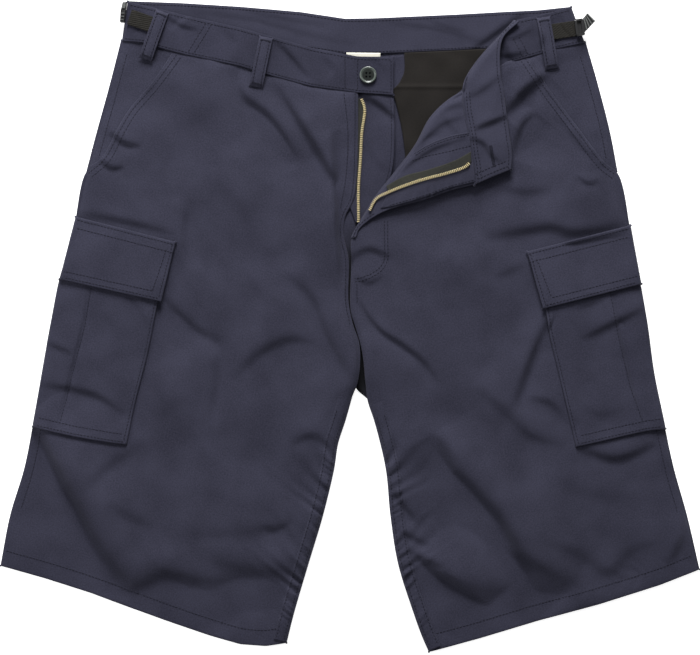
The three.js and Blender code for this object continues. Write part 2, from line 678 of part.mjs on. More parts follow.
// Cloth lapped round the inner leg and felled on to the front
const lapThickness = 0.9;
const lapStandoff = 0.5;
const inseamLapPiece = (rows, sideways, top) => sheet(
  facets.inseamLap,
  strip(rows, sideways * lapStandoff, sideways * inseamLap),
  (x, y) => clearOf(top)(x, y) + lapThickness,
  lapThickness,
);
addPiece('inseam_lap_left', inseamLapPiece(leftInner, -1, leftTop), navy);
addPiece('inseam_lap_right', inseamLapPiece(rightInner, 1, rightTop), navy);

// Bellows pockets on the thighs, each with its flap
const pocketThickness = 2.4;
const flapThickness = 2.0;
const pleatWidth = 4;
const pleatDepth = 1.0;

function pocketTop(over, pleat) {
  const pleatSamples = samples(path(pleat), 20);
  return (x, y) => {
    const crease = Math.exp(-((distanceTo(pleatSamples, x, y) / pleatWidth) ** 2));
    return over(x, y) + pocketThickness - pleatDepth * crease;
  };
}

const leftPleat = [
  { x: -273, y: 40 }, { x: -281, y: 0 }, { x: -293, y: -47 }, { x: -308, y: -101 },
];
const rightPleat = [
  { x: 274, y: 35 }, { x: 285, y: -13 }, { x: 297, y: -64 }, { x: 311, y: -108 },
];
const overLeft = clearOf(leftTop);
const overRight = clearOf(rightTop);
const leftPocketTop = pocketTop(overLeft, leftPleat);
const rightPocketTop = pocketTop(overRight, rightPleat);
addPiece('cargo_pocket_left', layer(facets.cargoPocket, patch(
  [{ x: -297, y: 70 }, { x: -303, y: 53 }, { x: -313, y: 3 }, { x: -322, y: -48 },
    { x: -332, y: -105 }],
  [{ x: -198, y: 50 }, { x: -202.5, y: 26 }, { x: -213, y: -27 }, { x: -227, y: -83 },
    { x: -235, y: -123 }],
  straight({ x: -297, y: 70 }, { x: -196, y: 50 }),
  alongRows([{ x: -332, y: -105 }, { x: -287, y: -115 }, { x: -249, y: -121.5 },
    { x: -235, y: -123 }]),
), leftPocketTop, overLeft), navy);
addPiece('cargo_pocket_right', layer(facets.cargoPocket, patch(
  [{ x: 200, y: 42 }, { x: 206, y: 18 }, { x: 210, y: -6 }, { x: 225, y: -70 },
    { x: 238, y: -125.5 }],
  [{ x: 299, y: 68 }, { x: 302, y: 53 }, { x: 311, y: 3 }, { x: 318, y: -48 },
    { x: 330, y: -107 }],
  straight({ x: 200, y: 42 }, { x: 299, y: 68 }),
  alongRows([{ x: 238, y: -125.5 }, { x: 271, y: -118 }, { x: 311, y: -109 },
    { x: 330, y: -107 }]),
), rightPocketTop, overRight), navy);

const overPocket = (pocket) => (x, y) => clearOf(pocket)(x, y) + flapThickness;
const flapOf = (name, corners, pocket) => addPiece(name, sheet(facets.cargoFlap, patch(
  [],
  [],
  straight(corners.topLeft, corners.topRight),
  straight(corners.bottomLeft, corners.bottomRight),
), overPocket(pocket), flapThickness), navy);
flapOf('cargo_flap_left', {
  topLeft: { x: -286.5, y: 114 },
  topRight: { x: -184, y: 88 },
  bottomLeft: { x: -303, y: 50 },
  bottomRight: { x: -198.5, y: 27 },
}, leftPocketTop);
flapOf('cargo_flap_right', {
  topLeft: { x: 187, y: 78 },
  topRight: { x: 293, y: 105 },
  bottomLeft: { x: 203, y: 19.5 },
  bottomRight: { x: 304, y: 45 },
}, rightPocketTop);

// Belt loops, bowed up over the waistband and sewn down at both ends
const loopThickness = 1.4;
const loopBow = 3.2;
const loopFootBase = 7;

function beltLoop(name, head, foot) {
  const height = (x, y, u, v) => THREE.MathUtils.lerp(waistbandTop, loopFootBase, v)
    + seamGap + loopThickness + loopBow * Math.sqrt(Math.sin(Math.PI * v));
  const plan = strip([head, foot], -beltLoopWidth / 2, beltLoopWidth / 2);
  addPiece(name, sheet(facets.beltLoop, plan, height, loopThickness), navy);
}
beltLoop('belt_loop_left_side', { x: -197, y: 330 }, { x: -214.5, y: 281 });
beltLoop('belt_loop_left_front', { x: -88, y: 303 }, { x: -98.5, y: 252 });
beltLoop('belt_loop_right_side', { x: 203, y: 324 }, { x: 212, y: 271 });

// Adjusting straps of webbing, from under the side loops out to the buckles
const strapThickness = 1.4;
const strapHeight = (band) => (x, y) => clearOf(band)(x, y) + strapThickness;
const halfWebbing = webbingWidth / 2;
addPiece('adjuster_strap_left', sheet(facets.strap, strip(
  [{ x: -206, y: 316 }, { x: -231.5, y: 325 }], -halfWebbing, halfWebbing,
), strapHeight(leftBandTop), strapThickness), webbing);
addPiece('adjuster_strap_right', sheet(facets.strap, strip(
  [{ x: 212, y: 309 }, { x: 236.3, y: 312.8 }], -halfWebbing, halfWebbing,
), strapHeight(rightBandTop), strapThickness), webbing);

// The waist button: a rimmed disc with four thread holes
const buttonThickness = 2.6;
const buttonDish = 0.7;
const buttonRim = 2.4;
const threadHole = 1.1;
const threadSpacing = 1.9;
const buttonChamfer = 1;
const buttonFootRise = 0.9;
const buttonLip = { inset: 0.3, drop: 0.4 };
const buttonFacets = 28;
const holeFacets = 10;
const buttonPlace = { x: 19, y: 264 };
const weldDistance = 1e-4;

function solid(geometry) {
  const bare = geometry.clone();
  bare.deleteAttribute('normal');
  bare.deleteAttribute('uv');
  const merged = mergeVertices(bare, weldDistance);
  return new wasm.Manifold(new wasm.Mesh({
    numProp: 3,
    vertProperties: new Float32Array(merged.attributes.position.array),
    triVerts: new Uint32Array(merged.index.array),
  }));
}

function fromSolid(shape) {
  const mesh = shape.getMesh();
  const geometry = new THREE.BufferGeometry();
  geometry.setAttribute('position', new THREE.Float32BufferAttribute(mesh.vertProperties, 3));
  geometry.setIndex(Array.from(mesh.triVerts));
  return geometry;
}

const buttonRadius = buttonDiameter / 2;
const buttonProfile = [
  [0, 0],
  [buttonRadius - buttonChamfer, 0],
  [buttonRadius, buttonFootRise],
  [buttonRadius - buttonLip.inset, buttonThickness - buttonLip.drop],
  [buttonRadius - buttonChamfer, buttonThickness],
  [buttonRadius - buttonRim, buttonThickness - buttonDish],
  [0, buttonThickness - buttonDish],
].map(([x, y]) => new THREE.Vector2(x, y));
let button = solid(new THREE.LatheGeometry(buttonProfile, buttonFacets).rotateX(Math.PI / 2));
for (const [sx, sy] of [[1, 1], [1, -1], [-1, 1], [-1, -1]]) {
  const hole = new THREE.CylinderGeometry(threadHole, threadHole, 4 * buttonThickness, holeFacets);
  hole.rotateX(Math.PI / 2).translate(sx * threadSpacing, sy * threadSpacing, 0);
  button = button.subtract(solid(hole));
}
const waistButton = fromSolid(button);
waistButton.translate(buttonPlace.x, buttonPlace.y, waistbandTop + seamGap);
addPiece('waist_button', waistButton, buttonPlastic);

// Buckles at the sides. The left one is seen on edge; the right one shows its
// frame and the lever that grips the webbing
function block(outline, bottom, height, bevel) {
  const shape = new THREE.Shape(outline.map((row) => new THREE.Vector2(row.x, row.y)));
  const geometry = new THREE.ExtrudeGeometry(shape, {
    depth: height - 2 * bevel,
    bevelEnabled: true,
    bevelThickness: bevel,
    bevelSize: bevel,
    bevelOffset: -bevel,
    bevelSegments: 2,
    curveSegments: 6,
  });
  return geometry.translate(0, 0, bottom + bevel);
}
const buckleBevel = 0.6;
const leftBuckle = { bottom: 0.8, height: 11 };
const rightBuckle = { bottom: 7.6, height: 4.4 };
const rightLever = { bottom: 8.4, height: 2.8 };
const mergedBlock = (...sizes) => fromSolid(solid(block(...sizes)));
addPiece('adjuster_buckle_left', mergedBlock([
  { x: -241.5, y: 319.5 }, { x: -236.9, y: 319 }, { x: -234.3, y: 338.5 }, { x: -234.3, y: 341 },
  { x: -238.5, y: 340.5 }, { x: -241, y: 331 },
], leftBuckle.bottom, leftBuckle.height, buckleBevel), bucklePlastic);
addPiece('adjuster_buckle_right', mergedBlock([
  { x: 238.2, y: 304.5 }, { x: 245.5, y: 306 }, { x: 244, y: 322.5 }, { x: 235.8, y: 321 },
], rightBuckle.bottom, rightBuckle.height, buckleBevel), bucklePlastic);
addPiece('buckle_lever_right', mergedBlock([
  { x: 246, y: 308 }, { x: 257.5, y: 320.5 }, { x: 249, y: 329 }, { x: 244.6, y: 323 },
], rightLever.bottom, rightLever.height, buckleBevel), bucklePlastic);

export default shorts;
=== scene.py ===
# Navy twill cargo shorts laid flat on their back, the fly open and the wearer's
# left front turned over to the right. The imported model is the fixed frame. Plans
# and heights are worked out in millimetres and turned to metres in each mesh.
from functools import partial

import bpy
import numpy as np
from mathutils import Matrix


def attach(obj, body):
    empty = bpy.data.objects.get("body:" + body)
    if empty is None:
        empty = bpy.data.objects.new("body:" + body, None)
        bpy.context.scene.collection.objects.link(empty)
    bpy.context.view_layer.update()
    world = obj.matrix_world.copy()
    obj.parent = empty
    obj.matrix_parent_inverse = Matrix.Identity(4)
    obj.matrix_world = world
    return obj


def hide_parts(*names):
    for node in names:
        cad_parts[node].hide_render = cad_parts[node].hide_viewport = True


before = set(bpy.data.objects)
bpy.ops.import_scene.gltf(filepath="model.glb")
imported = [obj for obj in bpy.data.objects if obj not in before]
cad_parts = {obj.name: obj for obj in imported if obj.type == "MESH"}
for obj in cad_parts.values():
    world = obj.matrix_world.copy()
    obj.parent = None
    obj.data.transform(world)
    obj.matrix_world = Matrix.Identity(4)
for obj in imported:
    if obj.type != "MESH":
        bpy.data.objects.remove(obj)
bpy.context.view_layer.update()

# ---------------------------------------------------------------------------
# The table, the light and the camera
# A plain white table under a wide soft light from the waist side, with weaker
# ones from the left and the hems. The camera looks straight down, far off.


def srgb(*levels):
    """Linear colour of screen levels from 0 to 255: a power of 2.4 above a short straight foot."""
    level = np.array(levels) / 255
    linear = np.where(level <= 0.04045, level / 12.92, ((level + 0.055) / 1.055) ** 2.4)
    return (*linear.tolist(), 1.0)


def feed(node, sockets):
    """The node, with each named socket given its value or linked from another node's output."""
    for name, value in sockets.items():
        if isinstance(value, bpy.types.NodeSocket):
            node.id_data.links.new(value, node.inputs[name])
        else:
            node.inputs[name].default_value = value
    return node


def put(tree, kind, sockets=None, **settings):
    """A new node of that kind with its settings, and then its sockets fed."""
    node = tree.nodes.new(kind)
    for name, value in settings.items():
        setattr(node, name, value)
    return feed(node, sockets or {})


def ranged(tree, value, limits, **settings):
    """A value carried from one range to another."""
    return put(tree, "ShaderNodeMapRange", {"Value": value, **limits}, **settings).outputs["Result"]


def new_material(name):
    """A bare material, its node tree and its Principled shader."""
    material = bpy.data.materials.new(name)
    material.use_nodes = True
    return material, material.node_tree, material.node_tree.nodes["Principled BSDF"]


table_reach = 8.0
table_drop = 0.0004
table_corners = [(sx * table_reach, sy * table_reach, -table_drop)
                 for sx, sy in ((-1, -1), (1, -1), (1, 1), (-1, 1))]
table_top = bpy.data.meshes.new("table")
table_top.from_pydata(table_corners, [], [(0, 1, 2, 3)])
table = bpy.data.objects.new("table", table_top)
bpy.context.collection.objects.link(table)
table_white, tree, shader = new_material("table_white")
speckle = put(tree, "ShaderNodeTexNoise", {"Scale": 40.0, "Detail": 2.0}).outputs["Fac"]
feed(shader, {"Base Color": ranged(tree, speckle, {"To Min": 0.93, "To Max": 0.95}), "Roughness": 0.9,
              "Specular IOR Level": 0.1, "Emission Color": (1, 1, 1, 1), "Emission Strength": 0.8})
table_top.materials.append(table_white)

world = bpy.data.worlds.new("studio")
world.use_nodes = True
feed(world.node_tree.nodes["Background"], {"Color": (1, 1, 1, 1), "Strength": 0.2})
bpy.context.scene.world = world


def soft_light(name, place, size, power):
    """A square area light that looks at the middle of the table and that the camera doesn't see."""
    light = bpy.data.lights.new(name, "AREA")
    light.size = size
    light.energy = power
    lamp = bpy.data.objects.new(name, light)
    lamp.location = place
    away = np.array(place) / np.linalg.norm(place)
    lamp.rotation_euler = (np.arccos(away[2]), 0, np.arctan2(away[0], -away[1]))
    lamp.visible_camera = False
    bpy.context.collection.objects.link(lamp)


soft_light("waist_light", (-0.05, 2.5, 1.37), 1.1, 128)
soft_light("side_light", (-2.0, 0.2, 1.15), 0.9, 16)
soft_light("hem_light", (0.9, -1.8, 2.4), 2.2, 4)

camera_height = 3.0
cloth_level = 0.006
photo_width = 0.735
photo_middle = -0.00105
sensor_width = 36
camera = bpy.data.objects.new("camera", bpy.data.cameras.new("camera"))
camera.data.sensor_width = sensor_width
camera.data.lens = sensor_width * (camera_height - cloth_level) / photo_width
camera.data.clip_end = 30
camera.location = (0, photo_middle, camera_height)
bpy.context.collection.objects.link(camera)
bpy.context.scene.camera = camera
bpy.context.scene.view_settings.view_transform = "Standard"

# ---------------------------------------------------------------------------
# Back panels
# Two cotton twill panels that meet at the centre back seam and lie flat on the
# table. Their outlines are the shorts' own, from the waist seam to the hems.


line_steps = 96
curve_steps = 24


def smooth_line(points, count=line_steps):
    """A smooth line through points, at even lengths: a centripetal Catmull-Rom curve."""
    points = np.asarray(points, float)
    knots = np.vstack([2 * points[0] - points[1], points, 2 * points[-1] - points[-2]])
    span = np.sqrt(np.linalg.norm(np.diff(knots, axis=0), axis=1))[:, None]
    before, here, there, after = knots[:-3], knots[1:-2], knots[2:-1], knots[3:]
    first, middle, last = span[:-2], span[1:-1], span[2:]
    leave = (here - before) / first - (there - before) / (first + middle) + (there - here) / middle
    reach = (there - here) / middle - (after - here) / (middle + last) + (after - there) / last
    t = np.linspace(0, 1, curve_steps, endpoint=False)[None, :, None]
    leave, reach = (leave * middle)[:, None], (reach * middle)[:, None]
    curve = here[:, None] * (2 * t**3 - 3 * t**2 + 1) + leave * (t**3 - 2 * t**2 + t)
    curve = curve + there[:, None] * (3 * t**2 - 2 * t**3) + reach * (t**3 - t**2)
    curve = np.vstack([curve.reshape(-1, 2), points[-1]])
    return even_line(curve, count)


def even_line(curve, count=line_steps):
    """The line read again at even lengths."""
    lengths = np.concatenate([[0], np.cumsum(np.linalg.norm(np.diff(curve, axis=0), axis=1))])
    steps = np.linspace(0, lengths[-1], count + 1)
    return np.column_stack([np.interp(steps, lengths, curve[:, k]) for k in range(2)])


def along(line, t):
    """The point of an even line at each share t of its length."""
    place = np.linspace(0, 1, len(line))
    return np.stack([np.interp(t, place, line[:, k]) for k in range(2)], axis=-1)


def stretch(points, from_x, to_x, rise=0.0):
    """The part of a left-to-right line of points between two places, lifted by rise in plan."""
    x = np.linspace(from_x, to_x, line_steps + 1)
    points = np.array(points, float)
    return np.column_stack([x, np.interp(x, points[:, 0], points[:, 1]) + rise])


def panel(left, right, top, bottom, columns, rows, crowd=0.0):
    """The plan of a panel between four edges: the mean of the edges less the mean of the corners.
    The top and bottom edges pin the ends of the sides, and crowd draws the columns to the sides."""
    top, bottom = np.asarray(top, float), np.asarray(bottom, float)
    left = smooth_line([top[0], *left, bottom[0]])
    right = smooth_line([top[-1], *right, bottom[-1]])
    u = np.linspace(0, 1, columns + 1)
    u = (u - crowd * np.sin(2 * np.pi * u))[None, :, None]
    v = np.linspace(0, 1, rows + 1)[:, None, None]
    plan = along(left, v[..., 0]) * (1 - u) + along(right, v[..., 0]) * u
    plan = plan + along(top, u[..., 0]) * (1 - v) + along(bottom, u[..., 0]) * v
    corners = top[0] * (1 - u) * (1 - v) + top[-1] * u * (1 - v)
    corners = corners + bottom[0] * (1 - u) * v + bottom[-1] * u * v
    plan = plan - corners
    return plan[..., 0], plan[..., 1]


lowest_rim = 1.0
roll_steps = 4


def rolled(grid, edge, out, down, turn=0.75, floor=None):
    """The grid with one edge rolled over: outwards by a sine and down by a cosine of the same turn.
    Down is the drop or, with a floor, the share of the height above that floor."""
    upright, way = edge in ("left", "right"), 1 if edge in ("left", "top") else -1
    turned = np.stack(grid, axis=-1)
    turned = (turned if upright else turned.swapaxes(0, 1))[:, ::way]
    rim = turned[:, 0]
    outward = (rim - turned[:, 1]) * (1, 1, 0)
    outward = outward / np.maximum(np.linalg.norm(outward, axis=1, keepdims=True), 1e-6)
    angle = np.linspace(0, turn * np.pi, roll_steps + 1)[:0:-1][None, :, None]
    if floor is not None:
        down = down * (rim[:, 2] - floor)
    drop = np.clip(np.broadcast_to(down, rim.shape[:1]), 0, (rim[:, 2] - lowest_rim) * 1.1)
    more = rim[:, None] + outward[:, None] * out * np.sin(angle)
    more = more - drop[:, None, None] * (1 - np.cos(angle)) / 2 * np.array([0, 0, 1])
    turned = np.concatenate([more, turned], axis=1)[:, ::way]
    turned = turned if upright else turned.swapaxes(0, 1)
    return turned[..., 0], turned[..., 1], turned[..., 2]


mm = 0.001


def mesh_piece(name, points, faces, material, smooth=True):
    """A mesh object at the origin from points in millimetres."""
    mesh = bpy.data.meshes.new(name)
    mesh.from_pydata((np.reshape(points, (-1, 3)) * mm).tolist(), [], faces)
    mesh.polygons.foreach_set("use_smooth", np.full(len(mesh.polygons), smooth))
    mesh.materials.append(material)
    mesh.update()
    piece = bpy.data.objects.new(name, mesh)
    bpy.context.collection.objects.link(piece)
    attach(piece, "root")
    return piece


def cloth(name, plan, height, thickness, material, *rolls):
    """A cloth wall whose outer face is a plan at a height, which is a number, a grid or a function of
    the plan, with edges rolled over in turn. Its UV map has the lengths along the cloth, in metres:
    across from the middle column, and down from the first row."""
    grid = (*plan, height(*plan) if callable(height) else height + 0 * plan[0])
    for roll in rolls:
        grid = rolled(grid, *roll)
    points = np.stack(grid, axis=-1)
    rows, columns = points.shape[:2]
    number = np.arange(rows * columns).reshape(rows, columns)
    faces = np.stack([number[:-1, :-1], number[1:, :-1], number[1:, 1:], number[:-1, 1:]], axis=-1)
    faces = faces.reshape(-1, 4)
    edge_across = points[0, -1] - points[0, 0]
    edge_down = points[-1, 0] - points[0, 0]
    if edge_down[0] * edge_across[1] - edge_down[1] * edge_across[0] < 0:
        faces = faces[:, ::-1]
    across = np.linalg.norm(np.diff(points, axis=1), axis=2)
    across = np.pad(np.cumsum(across, axis=1), ((0, 0), (1, 0)))
    across = across - across[:, columns // 2][:, None]
    down = np.linalg.norm(np.diff(points[:, columns // 2], axis=0), axis=1)
    down = np.broadcast_to(np.pad(np.cumsum(down), (1, 0))[:, None], (rows, columns))
    piece = mesh_piece(name, points, faces.tolist(), material)
    weave = np.stack([across, down], axis=-1).reshape(-1, 2) * mm
    layer = piece.data.uv_layers.new(name="weave")
    layer.data.foreach_set("uv", weave[faces.reshape(-1)].reshape(-1))
    wall = piece.modifiers.new("wall", "SOLIDIFY")
    wall.thickness = thickness * mm
    wall.offset = -1
    return piece


def noise(tree, place, scale, detail, **more):
    """Noise at a place, from 0 to 1."""
    sockets = {"Vector": place, "Scale": scale, "Detail": detail, **more}
    return put(tree, "ShaderNodeTexNoise", sockets).outputs["Fac"]


def own_place(tree):
    """The place of each point in the piece's own space."""
    return put(tree, "ShaderNodeTexCoord").outputs["Object"]


def reckon(tree, operation, *values):
    """The result of a sum on values and other nodes' outputs."""
    return put(tree, "ShaderNodeMath", dict(enumerate(values)), operation=operation).outputs[0]


def reckon_place(tree, operation, *places):
    """The outputs of a sum on places."""
    return put(tree, "ShaderNodeVectorMath", dict(enumerate(places)), operation=operation).outputs


def blend(tree, share, deep, light):
    """Two colours mixed by a share."""
    sockets = {"Factor": share, "A": deep, "B": light}
    return put(tree, "ShaderNodeMix", sockets, data_type="RGBA").outputs["Result"]


def twill_group():
    """Twill: slanting wales from a sine, crossed by the weft, roughened by the yarn's own noise."""
    group = bpy.data.node_groups.new("twill_weave", "ShaderNodeTree")
    for name, kind in (("Place", "NodeSocketVector"), ("Wale", "NodeSocketFloat")):
        group.interface.new_socket(name, in_out="INPUT", socket_type=kind)
    for name in ("Height", "Grain", "Fade"):
        group.interface.new_socket(name, in_out="OUTPUT", socket_type="NodeSocketFloat")
    start = put(group, "NodeGroupInput").outputs
    parts = put(group, "ShaderNodeSeparateXYZ", {0: start["Place"]}).outputs

    def wave(slope_x, slope_y):
        """A sine of the length along a slanting direction, over the width of a wale."""
        across, down = (reckon(group, "MULTIPLY", parts[axis], slope)
                        for axis, slope in (("X", slope_x), ("Y", slope_y)))
        turns = reckon(group, "DIVIDE", reckon(group, "ADD", across, down), start["Wale"])
        return reckon(group, "SINE", turns)

    crossed = reckon(group, "MULTIPLY_ADD", wave(0.0, 11.0), 0.25, wave(5.4, 3.2))
    yarn = noise(group, start["Place"], 1300.0, 2.0)
    slub = noise(group, start["Place"], 640.0, 3.0, Roughness=0.65)
    wear = noise(group, start["Place"], 21.0, 3.0)
    put(group, "NodeGroupOutput", {
        "Height": reckon(group, "MULTIPLY_ADD", yarn, 1.2, crossed),
        "Grain": ranged(group, slub, {"From Min": 0.3, "From Max": 0.7}),
        "Fade": ranged(group, wear, {"From Min": 0.32, "From Max": 0.68}),
    })
    return group


twill_weave = twill_group()
twill_wale = 0.0009
grain_share = 0.62
weave_depth = 0.00012


def cloth_finish(name, deep, light, wale, roughness, sheen, relief, painted_shade=None):
    """A woven cloth's finish: its two yarn colours mixed by grain and fade, its wales as bump.
    The painted shade, if given, darkens the colour where the cloth lies in a dark gap: its middle, and its
    three reaches."""
    material, tree, shader = new_material(name)
    place = put(tree, "ShaderNodeUVMap", uv_map="weave").outputs[0]
    weave = put(tree, "ShaderNodeGroup", {"Place": place, "Wale": wale}, node_tree=twill_weave).outputs
    mixed = reckon(tree, "MULTIPLY_ADD", weave["Grain"], grain_share, 0.0)
    mixed = reckon(tree, "MULTIPLY_ADD", weave["Fade"], 1 - grain_share, mixed)
    worn = blend(tree, mixed, deep, light)
    bump = put(tree, "ShaderNodeBump",
               {"Height": weave["Height"], "Strength": relief, "Distance": weave_depth})
    # Painted shade: the colour is darkened towards the middle of the gap, where shade falls; worn then
    # carries this painted shade as well as the wear.
    if painted_shade:
        away = reckon_place(tree, "SUBTRACT", own_place(tree), painted_shade[0])["Vector"]
        away = reckon_place(tree, "DIVIDE", away, painted_shade[1])["Vector"]
        away = reckon_place(tree, "LENGTH", away)["Value"]
        lit = ranged(tree, away, {"From Min": 0.5, "To Min": 0.08}, interpolation_type="SMOOTHSTEP")
        worn = put(tree, "ShaderNodeVectorMath", {0: worn, "Scale": lit}, operation="SCALE").outputs[0]
    feed(shader, {"Base Color": worn, "Normal": bump.outputs["Normal"], "Roughness": roughness,
                  "Specular IOR Level": 0.16, "Sheen Weight": sheen, "Sheen Roughness": 0.45})
    return material


def lay(piece, slot, flat, area, rests_on, *trims):
    """Hides the imported node that a laid sheet is named for.
    Its slot, its flat cut in metres, what it rests on and the rows of stitches that go with it are not
    used."""
    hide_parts(piece.name.rsplit("_", 1)[0])


navy_deep = srgb(35, 35, 49)
navy_light = srgb(63, 63, 80)
# The back panels' colour carries painted shade down the centre rise to the fork between the legs.
back_twill = cloth_finish("back_twill", navy_deep, navy_light, twill_wale, 0.8, 0.08, 0.6,
                          ((0.005, -0.005, 0.0), (0.025, 0.13, 1.0)))
centre_back = 7.5
seam_gap = 0.04
twill = 1.2
back_level = 1.2
back_columns, back_rows = 60, 110
left_side = [(-239, 300), (-251, 255), (-265, 204), (-278, 154), (-289, 103), (-303, 53),
             (-313, 3), (-322, -48), (-331, -98), (-341, -149), (-356, -199), (-366, -251)]
right_side = [(246, 298), (259, 255), (272, 204), (281, 154), (293, 103), (302, 53),
              (311, 3), (318, -48), (328, -98), (339, -149), (353, -199), (366, -255)]
left_inner = [(1, -73), (-6, -98), (-14, -123), (-18, -149), (-30, -199), (-45, -249),
              (-60, -300), (-68, -332)]
right_inner = [(20, -78), (27, -99), (39, -149), (44, -199), (52, -249), (68, -300),
               (77, -325), (84, -341)]
left_hem = [(-366, -251), (-320, -264), (-273, -279), (-194, -308), (-147, -324), (-115, -333),
            (-88, -335), (-68, -332)]
right_hem = [(84, -341), (136, -327), (199, -308), (262, -291), (325, -271), (366, -255)]
back_waist_edge = [(-233, 341.5), (-178, 339.5), (-115, 335.5), (-52, 330), (-5, 323),
                   (26, 323.5), (105, 327), (199, 332), (232, 335.5)]
waistband_height = 36
back_seam = [(x, y - waistband_height) for x, y in back_waist_edge]

back_plans = {
    "left": panel(
        left_side[1:-1], [(centre_back - seam_gap / 2, -30), (3.5, -62), *left_inner[:-1]],
        stretch(back_seam, -236, centre_back - seam_gap / 2), stretch(left_hem, -366, -68),
        back_columns, back_rows),
    "right": panel(
        [(centre_back + seam_gap / 2, -30), (4.2, -62), (14.5, -73), *right_inner[:-1]], right_side[1:-1],
        stretch(back_seam, centre_back + seam_gap / 2, 244), stretch(right_hem, 84, 366),
        back_columns, back_rows),
}
for side, plan in back_plans.items():
    back = cloth("back_" + side + "_twill", plan, back_level, twill, back_twill)
    lay(back, "twill_navy", (0.37, 0.65), 0.165, [])

# ---------------------------------------------------------------------------
# Front panels
# Two twill fronts that lie on the backs, rolled over at the side and inner
# seams. Their folds, seam puckers and slow swells are placed one by one.


def nearest(x, y, line):
    """Distance to a line, the side of it (plus on its right) and the length along it, for each point."""
    a, b = line[:-1], line[1:]
    step = b - a
    dx, dy = x[..., None] - a[:, 0], y[..., None] - a[:, 1]
    share = np.clip((dx * step[:, 0] + dy * step[:, 1]) / (step**2).sum(axis=1), 0, 1)
    away = np.hypot(dx - share * step[:, 0], dy - share * step[:, 1])
    best = away.argmin(axis=-1)
    pick = best[..., None]
    away = np.take_along_axis(away, pick, -1)[..., 0]
    cross = np.take_along_axis(dx * step[:, 1] - dy * step[:, 0], pick, -1)[..., 0]
    lengths = np.linalg.norm(step, axis=1)
    start = np.cumsum(lengths) - lengths
    place = start[best] + np.take_along_axis(share, pick, -1)[..., 0] * lengths[best]
    return away, np.sign(cross), place / lengths.sum()


def rounding(distance, width):
    """A quarter circle's rise from 0 at the edge to 1 at its width."""
    t = np.clip(distance / width, 0, 1)
    return np.sqrt(1 - (1 - t) ** 2)


def fold_rise(x, y, points, face, fall, relax, swell=0.0):
    """One fold. Across it, the cloth falls to its right through a steep face, a hyperbolic tangent
    of half width face, and settles again over relax, an exponential. Swell adds an even bell. Along
    it, both fade out at the ends by a sine."""
    away, side, place = nearest(x, y, smooth_line(points, 24))
    fade = np.sin(np.pi * np.clip(place, 0, 1)) ** 0.7
    drop = np.tanh(side * away / face) * np.exp(-away / relax)
    return fade * (swell * np.exp(-((away / (1.6 * face)) ** 2)) - fall * drop)


def creased(x, y, level, folds):
    """A level with the rise of each fold added to it."""
    for fold in folds:
        level = level + fold_rise(x, y, *fold)
    return level


def pucker_rise(x, y, line, pitch, rise, reach, start=0.0):
    """Puckers drawn up by a seam: waves along it, unevenly spaced, that die out away from it and
    before the share of its length at which they start."""
    away, _, place = nearest(x, y, line)
    length = np.linalg.norm(np.diff(line, axis=0), axis=1).sum()
    phase = place * length / pitch
    phase = phase + 0.6 * np.sin(0.37 * phase + 1.3) + 0.35 * np.sin(1.21 * phase) + away / (1.7 * pitch)
    uneven = 0.5 + 0.35 * np.sin(0.83 * phase + 0.7) + 0.35 * np.sin(2.3 * phase + 2.0)
    window = np.clip(8 * (place - start), 0, 1) * np.clip(8 * (1 - place), 0, 1)
    return rise * uneven * window * np.exp(-away / reach) * np.sin(2 * np.pi * phase)


swell_share = 1.5


def swells(x, y):
    """Slow swells of cloth that has been worn and laid down: a sum of slanting waves."""
    waves = ((0.051, 0.012, 0.34, 0.4), (0.017, 0.058, 0.38, 2.1), (-0.036, 0.041, 0.32, 4.0),
             (0.083, -0.047, 0.17, 1.0), (0.039, 0.094, 0.16, 3.3), (-0.11, 0.071, 0.1, 5.1),
             (0.16, 0.03, 0.05, 0.8), (0.05, -0.19, 0.05, 2.7))
    return swell_share * sum(rise * np.sin(a * x + b * y + phase) for a, b, rise, phase in waves)


front_rest = 6.2
side_edge_level = 2.7
hem_level = 4.6
waist_edge_level = 5.6
fly_edge_level = 5.6
least_front_level = 3.3
left_waist_seam = [(-239, 300.5), (-217, 298.5), (-198, 292.5), (-173, 286), (-115, 274),
                   (-83, 264), (-40, 252.5), (8, 246), (45, 243.5)]
right_waist_seam = [(120, 249), (165, 277), (179, 281), (197, 286), (217, 292), (246, 298.5)]
left_fly_edge = [(7, 246), (7, 206), (5.5, 154), (2.5, 134), (-7, 114), (-8, 95), (-3, 72),
                 (-3, 26), (2, 1), (8, -16), (9, -41), (6, -61)]
fold_line = [(120, 246), (102, 235), (84, 217), (68, 188), (42, 154), (27, 135), (18, 121),
             (3, 93)]
right_centre = [(3, 68), (2, 17), (7, 0), (14, -25), (18, -62)]
left_slash = [(-183, 287), (-206, 256), (-231, 227), (-246, 201), (-258, 178), (-276, 162)]
right_slash = [(185, 283), (210, 246), (240, 206), (266, 172), (280, 161)]

